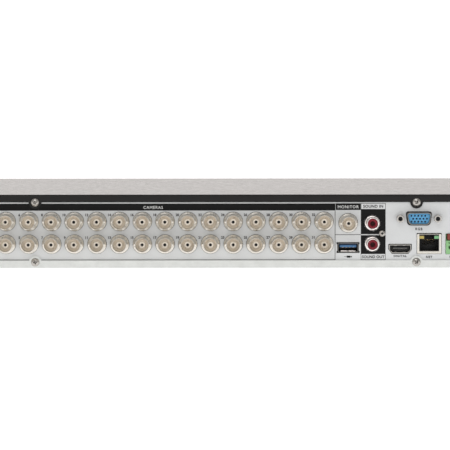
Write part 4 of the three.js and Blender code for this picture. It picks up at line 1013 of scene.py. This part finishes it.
def make_print():
    solid = [
        drawn([bar(FRAME_LEFT, OUT_LEFT - 0.2, *BAND)], INK),
        drawn([bar(OUT_LEFT + 0.2, AUDIO_LEFT - 0.1, *MONITOR_BAND)], INK),
    ]
    jack_low, jack_high = [circle(AUDIO_U, z, AUDIO_RING) for z in AUDIO_ROWS]
    solid += [
        drawn([bar(AUDIO_LEFT, AUDIO_RIGHT, MIDDLE_LINE + LINE, AUDIO_HEAD), jack_high], INK),
        drawn([bar(AUDIO_LEFT, AUDIO_RIGHT, AUDIO_FOOT, MIDDLE_LINE - LINE), jack_low], INK),
    ]
    piece("print_fields", merged(*solid), "print_black", REAR)

    lines = [
        bar(FRAME_LEFT, FRAME_LEFT + LINE, FRAME_BOTTOM, BAND[0]),
        bar(FRAME_LEFT, OUT_LEFT, FRAME_BOTTOM, FRAME_BOTTOM + LINE),
        bar(OUT_LEFT - LINE, OUT_LEFT, FRAME_BOTTOM, BAND[1]),
        bar(OUT_LEFT, AUDIO_LEFT, MIDDLE_LINE - LINE / 2, MIDDLE_LINE + LINE / 2),
        bar(AUDIO_LEFT, AUDIO_LEFT + SIDE_LINE, AUDIO_HEAD, AUDIO_TOP),
        bar(AUDIO_LEFT, AUDIO_RIGHT, AUDIO_TOP - THIN, AUDIO_TOP),
        bar(AUDIO_RIGHT - SIDE_LINE, AUDIO_RIGHT, AUDIO_HEAD, AUDIO_TOP),
        bar(AUDIO_LEFT, AUDIO_LEFT + SIDE_LINE, FRAME_BOTTOM, AUDIO_FOOT),
        bar(AUDIO_RIGHT - SIDE_LINE, AUDIO_RIGHT, FRAME_BOTTOM, AUDIO_FOOT),
        bar(AUDIO_LEFT, AUDIO_RIGHT, FRAME_BOTTOM, FRAME_BOTTOM + THIN),
    ]
    piece("print_lines", merged(*[drawn([line], INK) for line in lines]), "print_black", REAR)

    white = [
        lettering("CAMERAS", 1.95, (FRAME_LEFT + OUT_LEFT) / 2, 45.5, INK, spacing=1.16, weight=0.005),
        lettering("MONITOR", 2.0, (OUT_LEFT + AUDIO_LEFT) / 2, 45.75, INK, spacing=1.14, weight=0.005),
    ]
    piece("print_white_words", merged(*white), "print_white", REAR)

    middle = (AUDIO_LEFT + AUDIO_RIGHT) / 2
    words = [
        lettering("SOUND IN", 1.9, middle, 46.15, spacing=1.08, weight=0.04),
        lettering("SOUND OUT", 1.8, middle, 12.45, spacing=1.02, weight=0.04),
        lettering("RGB", 1.6, place("vga_shell")[0], 31.1, spacing=1.25, weight=0.04),
        lettering("DIGITAL", 1.35, place("hdmi_shell")[0], 13.2, spacing=1.15, stretch=1.1, weight=0.05),
        lettering("NET", 1.5, place("lan_shell")[0], 12.5, spacing=1.15, weight=0.05),
        lettering("A", 1.6, -centre("terminal_button_a").x, 12.7),
        lettering("B", 1.6, -centre("terminal_button_b").x, 12.7),
        lettering("DC 12V", 1.6, place("ground_screw")[0], 12.7, spacing=1.05),
        lettering("POWER", 1.6, place("switch_housing")[0], 15.4, spacing=1.05),
    ]
    for index, u in enumerate(COLUMN_U):
        for row, z in enumerate(COAX_ROWS):
            number = str(2 * index + 1 + row)
            words.append(lettering(number, 1.65, u - 5.8, z + 3.6, align="RIGHT", weight=0.05))
    piece("print_words", merged(*words), "print_black", REAR)

    usb_u = place("usb_shell")[0]
    plug_z = 13.4
    symbols = [
        bar(usb_u - 2.7, usb_u - 0.9, plug_z - 0.12, plug_z + 0.12),
        rectangle(usb_u + 0.3, plug_z, 2.4, 1.3, 0.15),
        rectangle(usb_u + 2.1, plug_z, 0.9, 0.8, 0.05),
    ]
    ground_u, ground_z = place("ground_screw")
    symbols += [bar(ground_u - 0.12, ground_u + 0.12, ground_z + 7.0, ground_z + 8.4)]
    symbols += [bar(ground_u - half, ground_u + half, ground_z + 7.0 - drop, ground_z + 7.25 - drop)
                for half, drop in ((1.5, 0), (1.0, 0.7), (0.5, 1.4))]
    piece("print_symbols", merged(*[drawn([outline], INK) for outline in symbols]), "print_black", REAR)


# ---------- front
def make_front():
    front, back, top, bottom = BEZEL_LOW.y, BEZEL_HIGH.y, BEZEL_HIGH.z, BEZEL_LOW.z
    half = BEZEL_HIGH.x
    groove, edge, wall = 30.0, 3.0, 2.4

    def arc(y, z, radius, start, stop):
        angles = [math.radians(start + (stop - start) * i / 6) for i in range(7)]
        return [(y + radius * math.cos(a), z + radius * math.sin(a)) for a in angles]

    profile = [(back, bottom), (back, top)]
    profile += arc(front + edge, top - edge, edge, 90, 180)
    profile += [(front, groove + 1.1), (front + 1.1, groove + 0.6), (front + 1.1, groove - 0.6),
                (front, groove - 1.1)]
    profile += arc(front + edge, bottom + edge, edge, 180, 270)
    outer = drawn([profile], 2 * half, base=-half)
    outer.transform(SIDEWAYS)
    outer = softened(outer, 0.8, 3, 60)
    inside = half - wall
    hollow = soft_box((-inside, inside), (front + wall + 1, back + 3), (bottom + wall, top - wall), 0.3)

    def clearance(node, gap, bevel):
        low, high = span(node)
        height = (low.z - gap, high.z + gap)
        return soft_box((low.x - gap, high.x + gap), (front - 3, front + 6), height, bevel)

    for tool in (hollow, clearance("front_window", 0.3, 0.25), clearance("front_usb_shell", 0.4, 0.2)):
        outer = carved(outer, tool)
    piece("front_fascia", outer, "bezel_plastic", replaces=["front_bezel"])
    low, high = span("front_window")
    pane = soft_box((low.x, high.x), (low.y, high.y), (low.z, high.z), 0.35, 3)
    piece("front_pane", pane, "window_plastic", replaces=["front_window"])


# ---------- CAD pieces that stay
KEPT = {
    "base_tray": "tray_steel", "light_guide": "clear_plastic", "front_board": "circuit_board",
    "front_usb_shell": "port_steel", "front_usb_core": "black_plastic", "main_board": "circuit_board",
    "heat_sink": "heat_sink_metal", "coin_cell": "cell_steel", "buzzer": "chip_black",
    "fan_frame": "black_plastic", "fan_rotor": "black_plastic", "drive_base": "drive_casting",
    "drive_cover": "drive_lid", "drive_platters": "platter_mirror", "drive_arm": "heat_sink_metal",
    "data_lead": "lead_red", "power_lead": "lead_black", "ribbon_lead": "lead_grey",
}


def finish_kept_nodes():
    for node, slot in KEPT.items():
        obj = frame["nodes"][node]
        obj.data.materials.clear()
        obj.data.materials.append(FINISHES[slot])


# ---------- floor
def make_floor():
    work = bmesh.new()
    bmesh.ops.create_grid(work, x_segments=4, y_segments=4, size=6)
    mesh = as_mesh(work, "floor")
    paper = surface("floor_paper", (0.5, 0.5, 0.5), 0.8, tone=0.01, grain=0.01)
    set_inputs(paper.node_tree.nodes["Principled BSDF"],
               {"Emission Color": (1, 1, 1, 1), "Emission Strength": FLOOR_GLOW})
    mesh.materials.append(paper)
    floor = added("floor", mesh)


# ---------- the recorder
make_camera()
make_studio()
make_key_light()
make_floor()
finish_kept_nodes()
make_cover()
make_panel()
make_front()
for end in ("front", "rear"):
    for side in ("left", "right"):
        make_foot(f"foot_{end}_{side}")
make_screws()
make_coax()
make_audio()
make_usb()
make_display_port()
make_hdmi()
make_network_port()
make_terminal()
make_power_inlet()
make_switch()
make_print()
